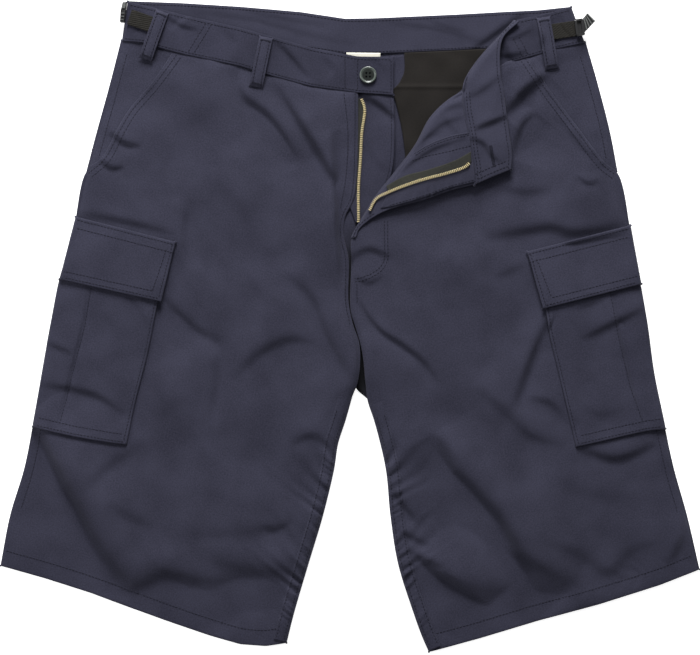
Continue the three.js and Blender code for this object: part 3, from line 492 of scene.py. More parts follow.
# Each fold: its points, the half width of its steep face, its fall, its relax and its swell
left_folds = [
    ([(-117, 272), (-113, 244), (-84, 220), (-50, 172)], 4.5, 4.8, 16, -0.6),
    ([(-80, 258), (-60, 226), (-34, 184), (-2, 130)], 4.5, 6.2, 18, -0.6),
    ([(-97, 228), (-72, 200), (-54, 168)], 4, 2.6, 10, -0.3),
    ([(-18, 206), (-14, 133), (-9, 40)], 4.5, -7.0, 15, -0.8),
    ([(-170, 134), (-175, 96), (-172, 60)], 5, -3.2, 14, -0.5),
    ([(-70, 58), (-41, 32), (-21, -14), (4, -58)], 7, 5.0, 18, -0.8),
    ([(-126, -58), (-94, -27), (-63, -14), (-34, -21)], 6, 3.1, 19, -0.5),
    ([(-198, 33), (-168, 3), (-134, -18)], 6, 4.2, 18, -0.5),
    ([(-157, 8), (-141, -35), (-147, -102)], 6, -3.6, 16, -0.6),
    ([(-338, -92), (-310, -146), (-288, -188), (-267, -226), (-226, -282)], 12, 17, 32, -1.4),
    ([(-300, -206), (-276, -244), (-250, -276)], 5, 3.0, 12),
    ([(-281, -171), (-251, -145), (-214, -121)], 8, 3.0, 18, -0.5),
    ([(-252, -183), (-231, -200), (-206, -211)], 7, 2.3, 14),
    ([(-180, -220), (-121, -217), (-84, -211), (-44, -192)], 10, 2.6, 24),
    ([(-94, -208), (-80, -213), (-62, -205)], 4, 2.0, 9),
    ([(-62, -124), (-40, -115), (-14, -133)], 5, 2.8, 13, -0.4),
    ([(-248, -284), (-194, -262), (-145, -268), (-66, -273)], 13, 6.0, 24, -0.4),
    ([(-214, -246), (-168, -272), (-112, -303)], 13, 6.0, 22),
    ([(-292, 120), (-236, 110), (-184, 97)], 4, 2.6, 14, -0.3),
    ([(-254, 205), (-236, 192), (-218, 189)], 3, 3.2, 9, -0.6),
    ([(-264, 176), (-250, 166), (-236, 168)], 3, 2.6, 8, -0.5),
    ([(-205, 246), (-190, 200), (-196, 150)], 9, -2.2, 24),
    ([(-150, 160), (-110, 120), (-92, 70)], 12, 3.2, 30),
    ([(-110, 60), (-96, 30), (-100, -8)], 9, 2.2, 20),
    ([(-362, -170), (-320, -206), (-270, -266)], 20, 9.0, 36),
    ([(-160, -240), (-104, -256), (-44, -256)], 18, 8.5, 36),
]
right_folds = [
    ([(6, 32), (30, -2), (56, -20), (76, -36), (96, -62)], 2.8, 3.2, 11, -0.4),
    ([(0, 72), (21, 81), (44, 71)], 3.4, 2.8, 8),
    ([(2, 54), (20, 46), (36, 54)], 3.2, 2.2, 7),
    ([(214, 18), (191, -33), (172, -88)], 4.5, -5.4, 14, -0.8),
    ([(138, 93), (189, 101), (211, 104), (232, 98), (294, 108)], 6.5, 4.4, 20, -0.4),
    ([(150, 51), (188, 66)], 6, 2.2, 16),
    ([(130, -62), (163, -90), (189, -114), (231, -126)], 7, 3.4, 18),
    ([(184, -75), (210, -80), (234, -106)], 5, 2.6, 12, 0.8),
    ([(239, -126), (278, -139), (323, -122)], 5.5, 4.2, 15, -0.4),
    ([(86, -114), (108, -150), (134, -178), (166, -216), (186, -258), (198, -290)], 10, 12.5, 30, -1.4),
    ([(180, -221), (236, -237), (273, -258), (295, -236), (334, -224)], 12, 4.6, 22, -0.4),
    ([(44, -168), (58, -190), (72, -207)], 5, 4.2, 11, -0.4),
    ([(50, -213), (66, -222), (84, -231)], 4, 3.0, 9, -0.4),
    ([(60, -234), (80, -246), (100, -252)], 4, 3.0, 9, -0.4),
    ([(70, -242), (104, -270), (150, -304)], 9, 12.0, 26, -0.6),
    ([(146, -230), (188, -248), (236, -272)], 14, 8.0, 30),
    ([(86, -256), (150, -278), (240, -272)], 18, 7.5, 38),
    ([(355, -204), (346, -228), (336, -250)], 5, -3.0, 12),
    ([(84, -110), (98, -124), (114, -145)], 7, 2.8, 16),
    ([(152, 149), (183, 141), (212, 144)], 6, 2.2, 14),
    ([(215, 223), (242, 191), (268, 163)], 4, 1.8, 10),
    ([(208, 266), (183, 246), (162, 220)], 6, -8.0, 20, 1.0),
    ([(194, 226), (180, 208), (170, 176)], 6, -6.5, 18, 0.8),
    ([(238, 158), (250, 150), (262, 153)], 3, 2.2, 8, -0.4),
    ([(120, 110), (92, 70), (88, 20)], 11, 2.8, 26),
    ([(200, -150), (250, -176), (330, -180)], 12, 2.2, 28),
]


def rightward(line):
    """The direction to the right of a line at each of its points."""
    ahead = np.gradient(line, axis=0)
    ahead = ahead / np.linalg.norm(ahead, axis=1, keepdims=True)
    return ahead[:, ::-1] * (1, -1)


def offset_line(line, sideways):
    """The line moved to its right by sideways."""
    return line + np.asarray(sideways) * rightward(line)


waist_tuck = 1.5
left_side_line, right_side_line = smooth_line(left_side), smooth_line(right_side)
left_hem_line, right_hem_line = smooth_line(left_hem), smooth_line(right_hem)
left_slash_line, right_slash_line = smooth_line(left_slash), smooth_line(right_slash)

# Each rim: its line, the width over which the cloth rounds down to it, its level, its steepest slope
left_rims = [
    (left_side_line, 18, side_edge_level, 9),
    (smooth_line(left_fly_edge[4:] + left_inner), 13, side_edge_level, 9),
    (left_hem_line, 22, hem_level, 9),
    (smooth_line([(x, y + waist_tuck) for x, y in left_waist_seam]), 9, waist_edge_level, 0.35),
    (smooth_line(left_fly_edge[:5]), 7, fly_edge_level, 9),
]
right_rims = [
    (right_side_line, 18, side_edge_level, 9),
    (smooth_line(right_centre + right_inner), 13, side_edge_level, 9),
    (right_hem_line, 22, hem_level, 9),
    (smooth_line([(x, y + waist_tuck) for x, y in right_waist_seam]), 9, waist_edge_level, 0.35),
]
hem_depth = 16
fork_lift = 6.0
fork_x, fork_y = 10, -44


def front_level(x, y, rims, folds, inner, hem, slash):
    """A front's outer face: its rest height, folds, puckers and swells, rounded down at the rims."""
    full = creased(x, y, front_rest + swells(x, y), folds)
    full = full + pucker_rise(x, y, inner, 17, 2.2, 20, 0.3)
    full = full + pucker_rise(x, y, inner, 9.5, 1.2, 11, 0.42)
    full = full + pucker_rise(x, y, slash, 15, 0.3, 10)
    full = full + pucker_rise(x, y, offset_line(hem, -hem_depth), 9.5, 0.6, 8)
    full = np.maximum(full, least_front_level)
    level = full
    for line, width, height, slope in rims:
        away, _, _ = nearest(x, y, line)
        level = np.minimum(level, height + (full - height) * rounding(away, width))
        level = np.minimum(level, height + slope * away)
    return level + fork_lift * np.exp(-(((x - fork_x) / 26) ** 2) - ((y - fork_y) / 30) ** 2)


left_level = partial(front_level, rims=left_rims, folds=left_folds, hem=left_hem_line,
                     inner=smooth_line(left_fly_edge[9:] + left_inner), slash=left_slash_line)
right_level = partial(front_level, rims=right_rims, folds=right_folds, hem=right_hem_line,
                      inner=smooth_line(right_centre[2:] + right_inner), slash=right_slash_line)
front_columns, front_rows, front_crowd = 140, 220, 0.06
left_front_plan = panel(
    [*left_slash[1:], *left_side[4:-1]], [*left_fly_edge[1:], *left_inner[:-1]],
    stretch(left_waist_seam, -183, 7, waist_tuck), stretch(left_hem, -366, -68),
    front_columns, front_rows, front_crowd,
)
right_front_plan = panel(
    [*fold_line[1:], *right_centre, *right_inner[:-1]], [*right_slash[1:], *right_side[4:-1]],
    stretch(right_waist_seam, 120, 185, waist_tuck), stretch(right_hem, 84, 366),
    front_columns, front_rows, front_crowd,
)
rim_rows = front_rows + 1
side_drop = np.interp(np.arange(rim_rows), [0, 0.42 * rim_rows, 0.5 * rim_rows], [1.0, 1.6, 2.6])
side_roll_out = 1.6
front_rolls = [("left", side_roll_out, side_drop), ("right", side_roll_out, side_drop),
               ("bottom", 1.0, 2.0)]
navy_twill = cloth_finish("navy_twill", navy_deep, navy_light, twill_wale, 0.8, 0.08, 0.6)
front_left = cloth("front_left_twill", left_front_plan, left_level, twill, navy_twill, *front_rolls)
front_right = cloth("front_right_twill", right_front_plan, right_level, twill, navy_twill, *front_rolls)

navy_thread, tree, shader = new_material("navy_thread")
thread_tone = blend(tree, noise(tree, own_place(tree), 2200.0, 1.0), srgb(20, 20, 31), srgb(40, 40, 54))
feed(shader, {"Base Color": thread_tone, "Roughness": 0.75, "Specular IOR Level": 0.2})

stitch_length = 2.6
stitch_gap = 1.0
thread_width = 0.9
thread_height = 0.3


def stitches(name, level, lines, length=stitch_length, gap=stitch_gap):
    """Rows of stitches as one mesh, along lines and on a level. A stitch is a spindle, half sunk: two
    rings about its middle, drawn to a point at each end on the cloth."""
    starts, stops = [], []
    for line in lines:
        line = even_line(np.asarray(line, float), 160)
        total = np.linalg.norm(np.diff(line, axis=0), axis=1).sum()
        places = np.arange((length + gap) / 2, total, length + gap)
        for ends, way in ((starts, -1), (stops, 1)):
            end = along(line, (places + way * length / 2) / total)
            ends.append(np.column_stack([end, level(end[:, 0], end[:, 1]) + thread_height / 2]))
    starts, stops = np.vstack(starts), np.vstack(stops)
    middle, axis = (starts + stops) / 2, stops - starts
    side = np.column_stack([-axis[:, 1], axis[:, 0], 0 * axis[:, 0]])
    side = side / np.linalg.norm(side, axis=1, keepdims=True) * thread_width / 2
    turn = np.arange(6) * np.pi / 3
    ring = np.cos(turn)[None, :, None] * side[:, None]
    ring = ring + np.sin(turn)[None, :, None] * np.array([0, 0, thread_height])
    rings = [middle[:, None] + share * axis[:, None] + ring for share in (-0.28, 0.28)]
    points = np.concatenate([starts[:, None], *rings, stops[:, None]], axis=1)
    first = (np.arange(len(points)) * 14)[:, None, None]
    here, there = np.arange(1, 7), np.roll(np.arange(1, 7), -1)
    fans = [np.stack([0 * here, there, here], axis=-1),
            np.stack([0 * here + 13, here + 6, there + 6], axis=-1)]
    fans = (first + np.concatenate(fans)[None]).reshape(-1, 3).tolist()
    sides = (first + np.stack([here, there, there + 6, here + 6], axis=-1)[None]).reshape(-1, 4).tolist()
    mesh_piece(name, points, fans + sides, navy_thread)
    return name


edge_stitch = 1.8
second_stitch = 7.0
side_seam_stitch = 8.0
fly_stitch = [(-6.3, 245), (-2.1, 202), (-4, 160), (-10, 124)]
j_stitch = [(39.5, 112), (39.5, 90), (39.5, 71), (35, 61), (23, 52), (11.5, 48), (5, 47)]
rise_stitch = [(7.3, 46), (7.3, 25)]
left_sewn = stitches("front_left_stitches", left_level, [
    offset_line(left_slash_line, -edge_stitch),
    offset_line(left_slash_line, -second_stitch),
    offset_line(left_hem_line, -hem_depth),
    offset_line(left_side_line, -side_seam_stitch)[64:86],
    offset_line(smooth_line(left_fly_edge[:9]), edge_stitch),
    smooth_line(fly_stitch),
])
right_sewn = stitches("front_right_stitches", right_level, [
    offset_line(right_slash_line, edge_stitch),
    offset_line(right_slash_line, second_stitch),
    offset_line(right_hem_line, -hem_depth),
    offset_line(right_side_line, side_seam_stitch)[64:86],
    smooth_line(j_stitch),
    offset_line(smooth_line(j_stitch), 3.4),
    smooth_line(rise_stitch),
])
lay(front_left, "twill_navy", (0.36, 0.62), 0.16, ["back_left_twill"], left_sewn)
lay(front_right, "twill_navy", (0.36, 0.62), 0.14, ["back_right_twill"], right_sewn)

# ---------------------------------------------------------------------------
# Side pieces behind the hand pockets
# Twill pieces that carry each side from the waistband down to the pocket's
# foot. They lie one cloth below the front's slanted, double stitched edge.

slash_drop = 1.5
slash_tuck = np.linspace(6, 0.3, line_steps + 1)[:, None]


def facing_under(x, y, front, seam):
    """The side piece's face: below the front by its drop, which fades out at the waist seam."""
    drop = slash_drop * np.clip(nearest(x, y, smooth_line(seam))[0] / 16, 0.1, 1)
    return np.maximum(front(x, y) - drop, side_edge_level)


facing_sides = {
    "left": (left_side_line, -1, partial(facing_under, front=left_level, seam=left_waist_seam), panel(
        left_side[1:3], offset_line(left_slash_line, -slash_tuck)[8:-8:8],
        stretch(left_waist_seam, -239, -177, waist_tuck), [(-276, 162), (-275, 161.8)], 34, 60)),
    "right": (right_side_line, 1, partial(facing_under, front=right_level, seam=right_waist_seam), panel(
        offset_line(right_slash_line, slash_tuck)[8:-8:8], right_side[1:3],
        stretch(right_waist_seam, 179, 246, waist_tuck), [(279, 162), (280, 162.2)], 34, 60)),
}
for side, (seam, way, level, plan) in facing_sides.items():
    facing = cloth("slash_facing_" + side + "_twill", plan, level, twill, navy_twill,
                   (side, side_roll_out, 2.7))
    sewn = stitches("slash_facing_" + side + "_stitches", level,
                    [offset_line(seam, way * side_seam_stitch)[2:22]])
    lay(facing, "twill_navy", (0.09, 0.15), 0.0062, ["back_" + side + "_twill"], sewn)

# ---------------------------------------------------------------------------
# Waistband
# Two cloths of twill, 36 mm deep. Its back half shows the inside, the left front
# half runs on past the fly, and the right one ends at the fold.

band_rest = 7.2
band_edge_level = 4.2
band_thickness = 1.6
back_band_level = 2.7
left_waist_edge = [(-233, 340.5), (-201, 333), (-173, 326), (-115, 313), (-83, 304), (-40, 292),
                   (8, 283), (45, 282.5)]
right_waist_edge = [(178, 322), (195, 325.5), (210, 329), (232, 335)]
waist_fold = [(174, 321), (154, 301), (132, 275), (122, 258), (120, 246)]
twill_inside = cloth_finish("twill_inside", srgb(41, 41, 55), srgb(59, 59, 75), twill_wale, 0.88, 0.1, 0.4)
band_twill = cloth_finish("band_twill", srgb(32, 32, 45), srgb(57, 57, 74), twill_wale, 0.8, 0.08, 0.6)
left_band_folds = [
    ([(-82, 305), (-62, 284), (-42, 260)], 3, 2.4, 9),
    ([(-194, 327), (-178, 316), (-158, 311)], 2.4, 1.8, 7),
    ([(-190, 310), (-176, 321), (-164, 328)], 2.4, -1.4, 6),
    ([(-230, 332), (-224, 319), (-229, 306)], 3, -1.2, 8),
    ([(-134, 314), (-120, 298), (-126, 280)], 5, 1.2, 12),
    ([(-32, 286), (-18, 271), (-26, 256)], 4, 1.4, 9),
    ([(18, 285), (34, 272), (41, 252)], 4, 1.2, 9),
]
right_band_folds = [
    ([(146, 290), (166, 284), (188, 289)], 3, 2.2, 8),
    ([(190, 324), (204, 307), (199, 290)], 3, -1.6, 8),
    ([(220, 328), (230, 311), (240, 302)], 3, 1.6, 8),
    ([(160, 300), (176, 304), (192, 312)], 3, 1.6, 7),
    ([(148, 314), (164, 291), (176, 270)], 6, 4.0, 14),
]
back_band_folds = [
    ([(-190, 334), (-110, 324), (-40, 306), (10, 296)], 6, 1.5, 14),
    ([(-120, 334), (-60, 322), (-20, 316)], 4, 1.0, 9),
    ([(30, 322), (90, 312), (150, 296)], 5, 1.4, 12),
    ([(76, 326), (104, 314), (124, 310)], 4, 1.0, 9),
    ([(124, 286), (152, 306), (184, 330)], 5, 4.2, 14),
]


def band_level(x, y, side, folds):
    """The band's outer face: level, rounded down to the side seam, with the creases of its wear."""
    away, _, _ = nearest(x, y, side)
    round_off = rounding(away, 18)
    level = band_edge_level + (band_rest - band_edge_level) * round_off
    level = level + round_off * (0.3 * swells(1.7 * x, 1.4 * y) + 0.15 * np.sin(0.31 * x + 0.11 * y))
    return level + round_off * creased(x, y, 0, folds)


left_band_level = partial(band_level, side=smooth_line([(-233, 340.5), (-239, 300.5)]),
                          folds=left_band_folds)
right_band_level = partial(band_level, side=smooth_line([(232, 335), (246, 298.5)]),
                           folds=right_band_folds)


def back_band_height(x, y):
    """The back band's inner face, up: level, with soft slanting folds."""
    folds = creased(x, y, 0, back_band_folds)
    return np.maximum(back_band_level + 0.15 * np.sin(0.21 * x) + folds, back_band_level - 0.7)


back_band_plan = panel([], [], stretch(back_waist_edge, -233, 232), stretch(back_seam, -236, 244, -0.9),
                       220, 24)
back_band = cloth("back_waistband_twill", back_band_plan, back_band_height, twill, twill_inside,
                  *[(edge, 0.7, 1.5) for edge in ("top", "left", "right")])
back_band_sewn = stitches("back_waistband_stitches", back_band_height, [
    stretch(back_waist_edge, -229, 228, -2.2),
    stretch(back_seam, -232, 240, 1.4),
])
lay(back_band, "twill_wrong_side", (0.49, 0.037), 0.0171, ["back_left_twill"], back_band_sewn)

band_side_roll = (0.8, 4.4)
band_edge_roll = (0.5, 1.1)
left_band_plan = panel([], [], stretch(left_waist_edge, -233, 45), stretch(left_waist_seam, -239, 45),
                       150, 22)
left_band = cloth("waistband_left_twill", left_band_plan, left_band_level, band_thickness, band_twill,
                  ("left", *band_side_roll), ("top", *band_edge_roll), ("bottom", *band_edge_roll),
                  ("right", *band_edge_roll))
left_band_sewn = stitches("waistband_left_stitches", left_band_level, [
    stretch(left_waist_edge, -231, 43, -2.4),
    stretch(left_waist_seam, -237, 43, 2.2),
    [(-151, 319), (-170, 288)],
    [(-145, 318), (-164, 286.5)],
    [(-5.3, 282), (-5.3, 249)],
    [(7.9, 281), (7.9, 247)],
    [(43, 280), (43, 246)],
])
lay(left_band, "twill_navy", (0.29, 0.04), 0.0112, ["front_left_twill"], left_band_sewn)

right_band_plan = panel(
    [(x + 0.8, y) for x, y in waist_fold[1:-1]], [],
    stretch(right_waist_edge, 174.8, 232), stretch(right_waist_seam, 120.8, 246), 70, 26,
)
right_band = cloth("waistband_right_twill", right_band_plan, right_band_level, band_thickness,
                   band_twill, ("right", *band_side_roll), ("top", *band_edge_roll),
                   ("bottom", *band_edge_roll))
right_band_sewn = stitches("waistband_right_stitches", right_band_level, [
    stretch(right_waist_edge, 179, 230, -2.6),
    stretch(right_waist_seam, 166, 243, 2.2),
    [(171, 303), (180.6, 284)],
    [(177, 305), (186.6, 286)],
])
lay(right_band, "twill_navy", (0.13, 0.05), 0.0042, ["front_right_twill"], right_band_sewn)

# ---------------------------------------------------------------------------
# Inside the waist
# The size label, left bare, stands up behind the front's waist edge, and the
# black pocketing of a back pocket lies on the back panel.

label_tape = cloth_finish("label_tape", srgb(214, 210, 196), srgb(232, 229, 217), 0.0007, 0.7, 0.1, 0.2)
pocketing = cloth_finish("pocketing", srgb(24, 22, 21), srgb(38, 35, 33), 0.0006, 0.9, 0.05, 0.25)
label_plan = panel([], [], [(-4, 288), (32, 287.5)], [(-2, 272), (32, 272)], 24, 12)
label_level = 3.1
label = cloth("size_label_tape", label_plan, label_level, 0.5, label_tape)
lay(label, "label_tape", (0.036, 0.016), None, ["back_waistband_twill"])

bag_foot = 128
bag_plan = panel(
    [(57, 268), (51, 255), (45, 248), (48, 236), (53, 215), (57.5, 185)], [],
    stretch(back_seam, 57, 200, -1.1), [(59, bag_foot), (198, bag_foot)], 90, 110,
)


def bag_level(x, y):
    """The pocketing's face: limp creases and its own seam across, dying out under the front."""
    creases = 0.9 * np.sin(0.06 * x + 0.08 * y + 1.6 * np.sin(0.04 * y)) ** 2
    creases = creases + 0.5 * np.sin(0.09 * x - 0.07 * y + 0.6) ** 2
    seam = 0.8 * np.exp(-(((y - 252) / 2.2) ** 2))
    fold_away, side, _ = nearest(x, y, smooth_line(waist_fold[:-1] + fold_line))
    return 1.9 + (0.6 + creases + seam) * np.where(side > 0, 1, np.exp(-fold_away / 5))


bag = cloth("back_pocket_bag_cloth", bag_plan, bag_level, 0.6, pocketing)
lay(bag, "pocketing", (0.145, 0.175), 0.0245, ["back_right_twill"])

# ---------------------------------------------------------------------------
# Fly shield and the buttoned side's half of the zip
# A guard of doubled twill behind the zip, and a brass zip whose teeth are
# clamped one by one on a woven tape.

shield_level = 3.4
shield_spring = 5.0
shield_plan = panel(
    [(-8, 150), (3, 118)], [(46, 200), (43, 162), (33, 136)],
    [(-8, 244), (45, 244)], [(6, 109), (15, 109)], 40, 80,
)
shield_folds = [
    ([(12, 243), (28, 235), (52, 214)], 3.2, 3.8, 12),
    ([(20, 190), (30, 172), (42, 160)], 5, 1.2, 12),
]


def shield_height(x, y):
    """The guard's face: level, with two slanting creases and a slight spring at its free edge."""
    spring = shield_spring * np.clip((x - 12) / 33, 0, 1) ** 1.5 * np.clip((244 - y) / 32, 0, 1)
    return shield_level + creased(x, y, 0, shield_folds) + spring + 0.12 * np.sin(0.16 * y)


shield = cloth("fly_shield_twill", shield_plan, shield_height, 1.3, band_twill, ("right", 0.8, 1.4))
shield_edge = smooth_line([(45, 243), (46, 200), (43, 162), (33, 136), (15, 109)])
shield_sewn = stitches("fly_shield_stitches", shield_height, [offset_line(shield_edge, 2.4)])
lay(shield, "twill_navy", (0.055, 0.137), 0.0056, ["back_left_twill"], shield_sewn)

zip_tape = cloth_finish("zip_tape", srgb(36, 37, 35), srgb(57, 57, 52), 0.0011, 0.8, 0.05, 0.5)
zip_brass, tree, shader = new_material("zip_brass")
worn = noise(tree, own_place(tree), 900.0, 2.0)
feed(shader, {"Base Color": blend(tree, worn, srgb(236, 212, 150), srgb(255, 246, 208)),
              "Roughness": ranged(tree, worn, {"To Min": 0.4, "To Max": 0.6}), "Metallic": 0.75})

tooth_pitch = 1.9
tooth_outline = np.array([(-0.5, -1.5), (0.5, -1.5), (0.58, 0.1), (0.42, 0.7), (0.36, 1.5), (-0.36, 1.5),
                          (-0.42, 0.7), (-0.58, 0.1)])


def beside(line, across):
    """A band beside a line: each row is a point of the line moved to its right by each of across."""
    band = line[:, None] + np.asarray(across)[None, :, None] * rightward(line)[:, None]
    return band[..., 0], band[..., 1]


def zip_teeth(side, line, height, head_side):
    """Brass teeth along a line: an outline of shank and head, raised in three chamfered rings."""
    total = np.linalg.norm(np.diff(line, axis=0), axis=1).sum()
    places = np.arange(tooth_pitch / 2, total, tooth_pitch) / total
    middle = along(line, places)
    ahead = along(line, places + 0.002) - along(line, places - 0.002)
    ahead = ahead / np.linalg.norm(ahead, axis=1, keepdims=True)
    across = ahead[:, ::-1] * (1, -1) * head_side
    rings = []
    for share, level in ((0.8, 0.0), (1.0, 0.4), (1.0, 1.2), (0.72, 1.6)):
        flat = tooth_outline * share
        ring = middle[:, None] + flat[None, :, :1] * ahead[:, None] + flat[None, :, 1:] * across[:, None]
        lift = height(middle[:, 0], middle[:, 1])[:, None] + level + 0 * ring[..., 0]
        rings.append(np.concatenate([ring, lift[..., None]], axis=-1))
    points = np.stack(rings, axis=1)
    count, levels, corners = points.shape[:3]
    number = np.arange(count * levels * corners).reshape(count, levels, corners)
    turned = np.roll(number, -1, axis=2)
    sides = np.stack([number[:, :-1], turned[:, :-1], turned[:, 1:], number[:, 1:]], axis=-1)
    faces = sides.reshape(-1, 4).tolist() + number[:, -1].tolist() + number[:, 0, ::-1].tolist()
    teeth = mesh_piece("zip_teeth_" + side, points, faces, zip_brass, smooth=False)
    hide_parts("zip_chain_" + side)


def raised(level, rise):
    """The level moved up by a rise."""
    return lambda x, y: level(x, y) + rise


left_chain = smooth_line(
    [(12, 239.5), (15.5, 229), (12.5, 204), (11, 175), (9, 145), (9, 121), (9, 110)], 200)
tape_rise = 0.65
tape_thickness = 0.45
left_tape_level = raised(shield_height, tape_rise)
left_tape_plan = panel([(5, 206), (3.6, 165)], [(14.7, 229), (11.7, 204), (10.2, 175)],
                       [(5, 239.5), (11.2, 239.5)], [(1.6, 145), (8.2, 145)], 12, 96)
left_tape = cloth("zip_tape_left_cloth", left_tape_plan, left_tape_level, tape_thickness, zip_tape)
lay(left_tape, "zip_tape", (0.01, 0.095), 0.0006, ["fly_shield_twill"])
zip_teeth("left", left_chain, left_tape_level, -1)

# ---------------------------------------------------------------------------
# The turned front
# The wearer's left front, sprung over from its fold with the wrong side up: the
# cloth, the waistband's end with its buttonhole, the fly facing and the zip.

turned_spring = 7.6
turned_free = 6.6
fold_height = 3.4
fly_edge = [(132, 150), (104, 143), (79, 134), (40, 123), (21, 113), (9, 102), (5.5, 93.5)]
turned_seam = [(119.7, 246), (121.4, 225), (126, 201), (128, 184), (131, 167), (132, 150)]
turned_outer = [(177, 320), (159, 301), (156.5, 266), (159.6, 248), (163, 222), (166, 199),
                (168.6, 180), (168, 165)]
whole_fold = smooth_line(waist_fold[:-1] + fold_line)
free_line = smooth_line(turned_outer[2:] + [(149, 157.5)] + fly_edge)


def turned_bottom(x, y):
    """The turned cloth's lower face: up from the fold by a quarter circle, lower at the free edges."""
    under = np.interp(y, [205, 245], [front_rest, band_rest])
    fold_away, _, _ = nearest(x, y, whole_fold)
    free_away, _, _ = nearest(x, y, free_line)
    height = np.interp(y, [95, 190], [0.35, 1.0])
    spring = fold_height + (turned_spring - fold_height) * np.clip(fold_away / 36, 0, 1)
    spring = spring * height * rounding(fold_away, 6)
    free = height * (turned_free + (turned_spring - turned_free) * rounding(free_away, 24))
    return under + np.minimum(0.5 + spring, 0.5 + free)


turned_folds = [
    ([(50, 160), (84, 184), (124, 198)], 4, 2.4, 9),
    ([(74, 194), (98, 212), (122, 220)], 4.5, 2.2, 11),
    ([(92, 222), (108, 230), (124, 232)], 4, 1.6, 8),
    ([(60, 178), (84, 200), (98, 204)], 3.5, 1.6, 7),
    ([(96, 224), (106, 208), (118, 196)], 4, 1.6, 10),
]
turned_band_folds = [
    ([(130, 206), (147, 213), (167, 221)], 3.2, 3.0, 10),
    ([(124, 198), (140, 191), (147, 180), (158, 170)], 3.4, 3.0, 9),
    ([(120, 238), (138, 247), (160, 264)], 5, 2.2, 13),
]
turned_gap = 0.5
turned_band_thickness = 2.2


def turned_level(x, y):
    """The turned cloth's upper face, with the soft folds that run down beside the facing."""
    folds = creased(x, y, 0, turned_folds) + pucker_rise(x, y, free_line, 12, 0.7, 9)
    return turned_bottom(x, y) + twill + turned_gap + folds


def turned_band_level(x, y):
    """The turned waistband's upper face, with the creases across it."""
    return turned_bottom(x, y) + turned_band_thickness + turned_gap + creased(x, y, 0, turned_band_folds)


turned_plan = panel(fold_line[::-1][1:-1], fly_edge[::-1][1:-1], [(3, 93), (5.5, 93.5)],
                    smooth_line(turned_seam), 70, 110)
turned = cloth("turned_front_twill", turned_plan, turned_level, twill, twill_inside,
               ("left", 2.4, 1, 0.85, 5.2), ("right", 0.8, 1.0))
turned_sewn = stitches("turned_front_stitches", turned_level,
                       [offset_line(smooth_line(fly_edge), 2.2)[74:]])
lay(turned, "twill_wrong_side", (0.1, 0.2), 0.0082, ["front_right_twill"], turned_sewn)

turned_band_plan = panel(
    [*waist_fold[1:-1], *turned_seam[:-1]], turned_outer[1:-1], [(174, 321), (177, 320)],
    smooth_line([(132, 150), (149, 157.5), (168, 165)]), 44, 120,
)
fold_share = np.interp(np.linspace(0, 1, 121), [0, 0.36, 0.42, 1.0], [1.0, 1.0, 0.12, 0.12])
turned_band = cloth("turned_waistband_twill", turned_band_plan, turned_band_level, 1.8, twill_inside,
                    ("left", 2.2, fold_share, 0.85, 5.6), ("right", 1.0, 1.6), ("bottom", 1.0, 1.6))
seam_line, outer_line = smooth_line(turned_seam), smooth_line(turned_outer)
end_line = smooth_line([(134, 152), (150, 159), (166, 165.5)])
keyhole = smooth_line([(147, 189.5), (151, 167)])
turned_band_sewn = stitches("turned_waistband_stitches", turned_band_level, [
    offset_line(seam_line, -2.0), offset_line(seam_line, -5.4), offset_line(outer_line, 2.4),
    offset_line(end_line, -2.4), offset_line(end_line, -8.0),
])
buttonhole_sewn = stitches(
    "buttonhole_stitches", turned_band_level,
    [offset_line(keyhole, 1.1), offset_line(keyhole, -1.1), keyhole],
    length=1.0, gap=0.1,
)
lay(turned_band, "twill_wrong_side", (0.05, 0.19), 0.0056, ["waistband_right_twill"], turned_band_sewn,
    buttonhole_sewn)

facing_plan = panel(
    [(45, 150.5)], [(127, 184), (130, 167)],
    smooth_line([(66, 181), (84, 191.5), (104, 199), (124.5, 203)]),
    smooth_line([(32, 124), (41, 125.2), (79, 135.6), (104, 144.6), (131.4, 151.4)]), 80, 50,
)
facing_level = raised(turned_level, 0.9)
fly_facing = cloth("fly_facing_twill", facing_plan, facing_level, 0.8, twill_inside, ("top", 0.5, 0.8))
facing_sewn = stitches("fly_facing_stitches", facing_level, [
    smooth_line([(130, 153.6), (104, 146.8), (79, 137.8), (42, 127.2)]),
    smooth_line([(127, 189.5), (102, 183), (75.6, 177.5), (65, 173.8)]),
    smooth_line([(125, 200.5), (104, 196), (84, 188.5), (68, 179)]),
])
overlock_sewn = stitches("fly_facing_overlock", facing_level, [
    smooth_line([(125, 202.2), (104, 198), (84, 190.5), (67, 181)]),
], length=1.3, gap=0.5)
lay(fly_facing, "twill_wrong_side", (0.1, 0.05), 0.0042, ["turned_front_twill"], facing_sewn,
    overlock_sewn)

right_chain = smooth_line(
    [(125, 171), (120.5, 167), (102, 160.5), (81, 155), (63, 149.5), (41, 141), (27.5, 134), (20, 121)],
    200)
right_tape_level = raised(facing_level, tape_rise)
right_tape_plan = panel(
    [], [],
    smooth_line([(38, 147.5), (58, 158), (82.5, 164.5), (110, 174), (126.5, 183)]),
    smooth_line([(40, 140.5), (62, 149), (81, 154.6), (102, 160.2), (120, 166.7), (127, 172)]), 80, 10,
)
right_tape = cloth("zip_tape_right_cloth", right_tape_plan, right_tape_level, tape_thickness, zip_tape)
lay(right_tape, "zip_tape", (0.013, 0.1), None, ["fly_facing_twill"])
zip_teeth("right", right_chain, right_tape_level, 1)


def refinish(node, material):
    """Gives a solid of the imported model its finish, with its shape kept."""
    solid = bpy.data.objects[node]
    solid.data.materials.clear()
    solid.data.materials.append(material)


refinish("zip_slider", zip_brass)

# ---------------------------------------------------------------------------
# Inner leg laps
# The back's seam edge, lapped round the inner leg and felled down on the front
# with two rows of stitches, drawn up into puckers.

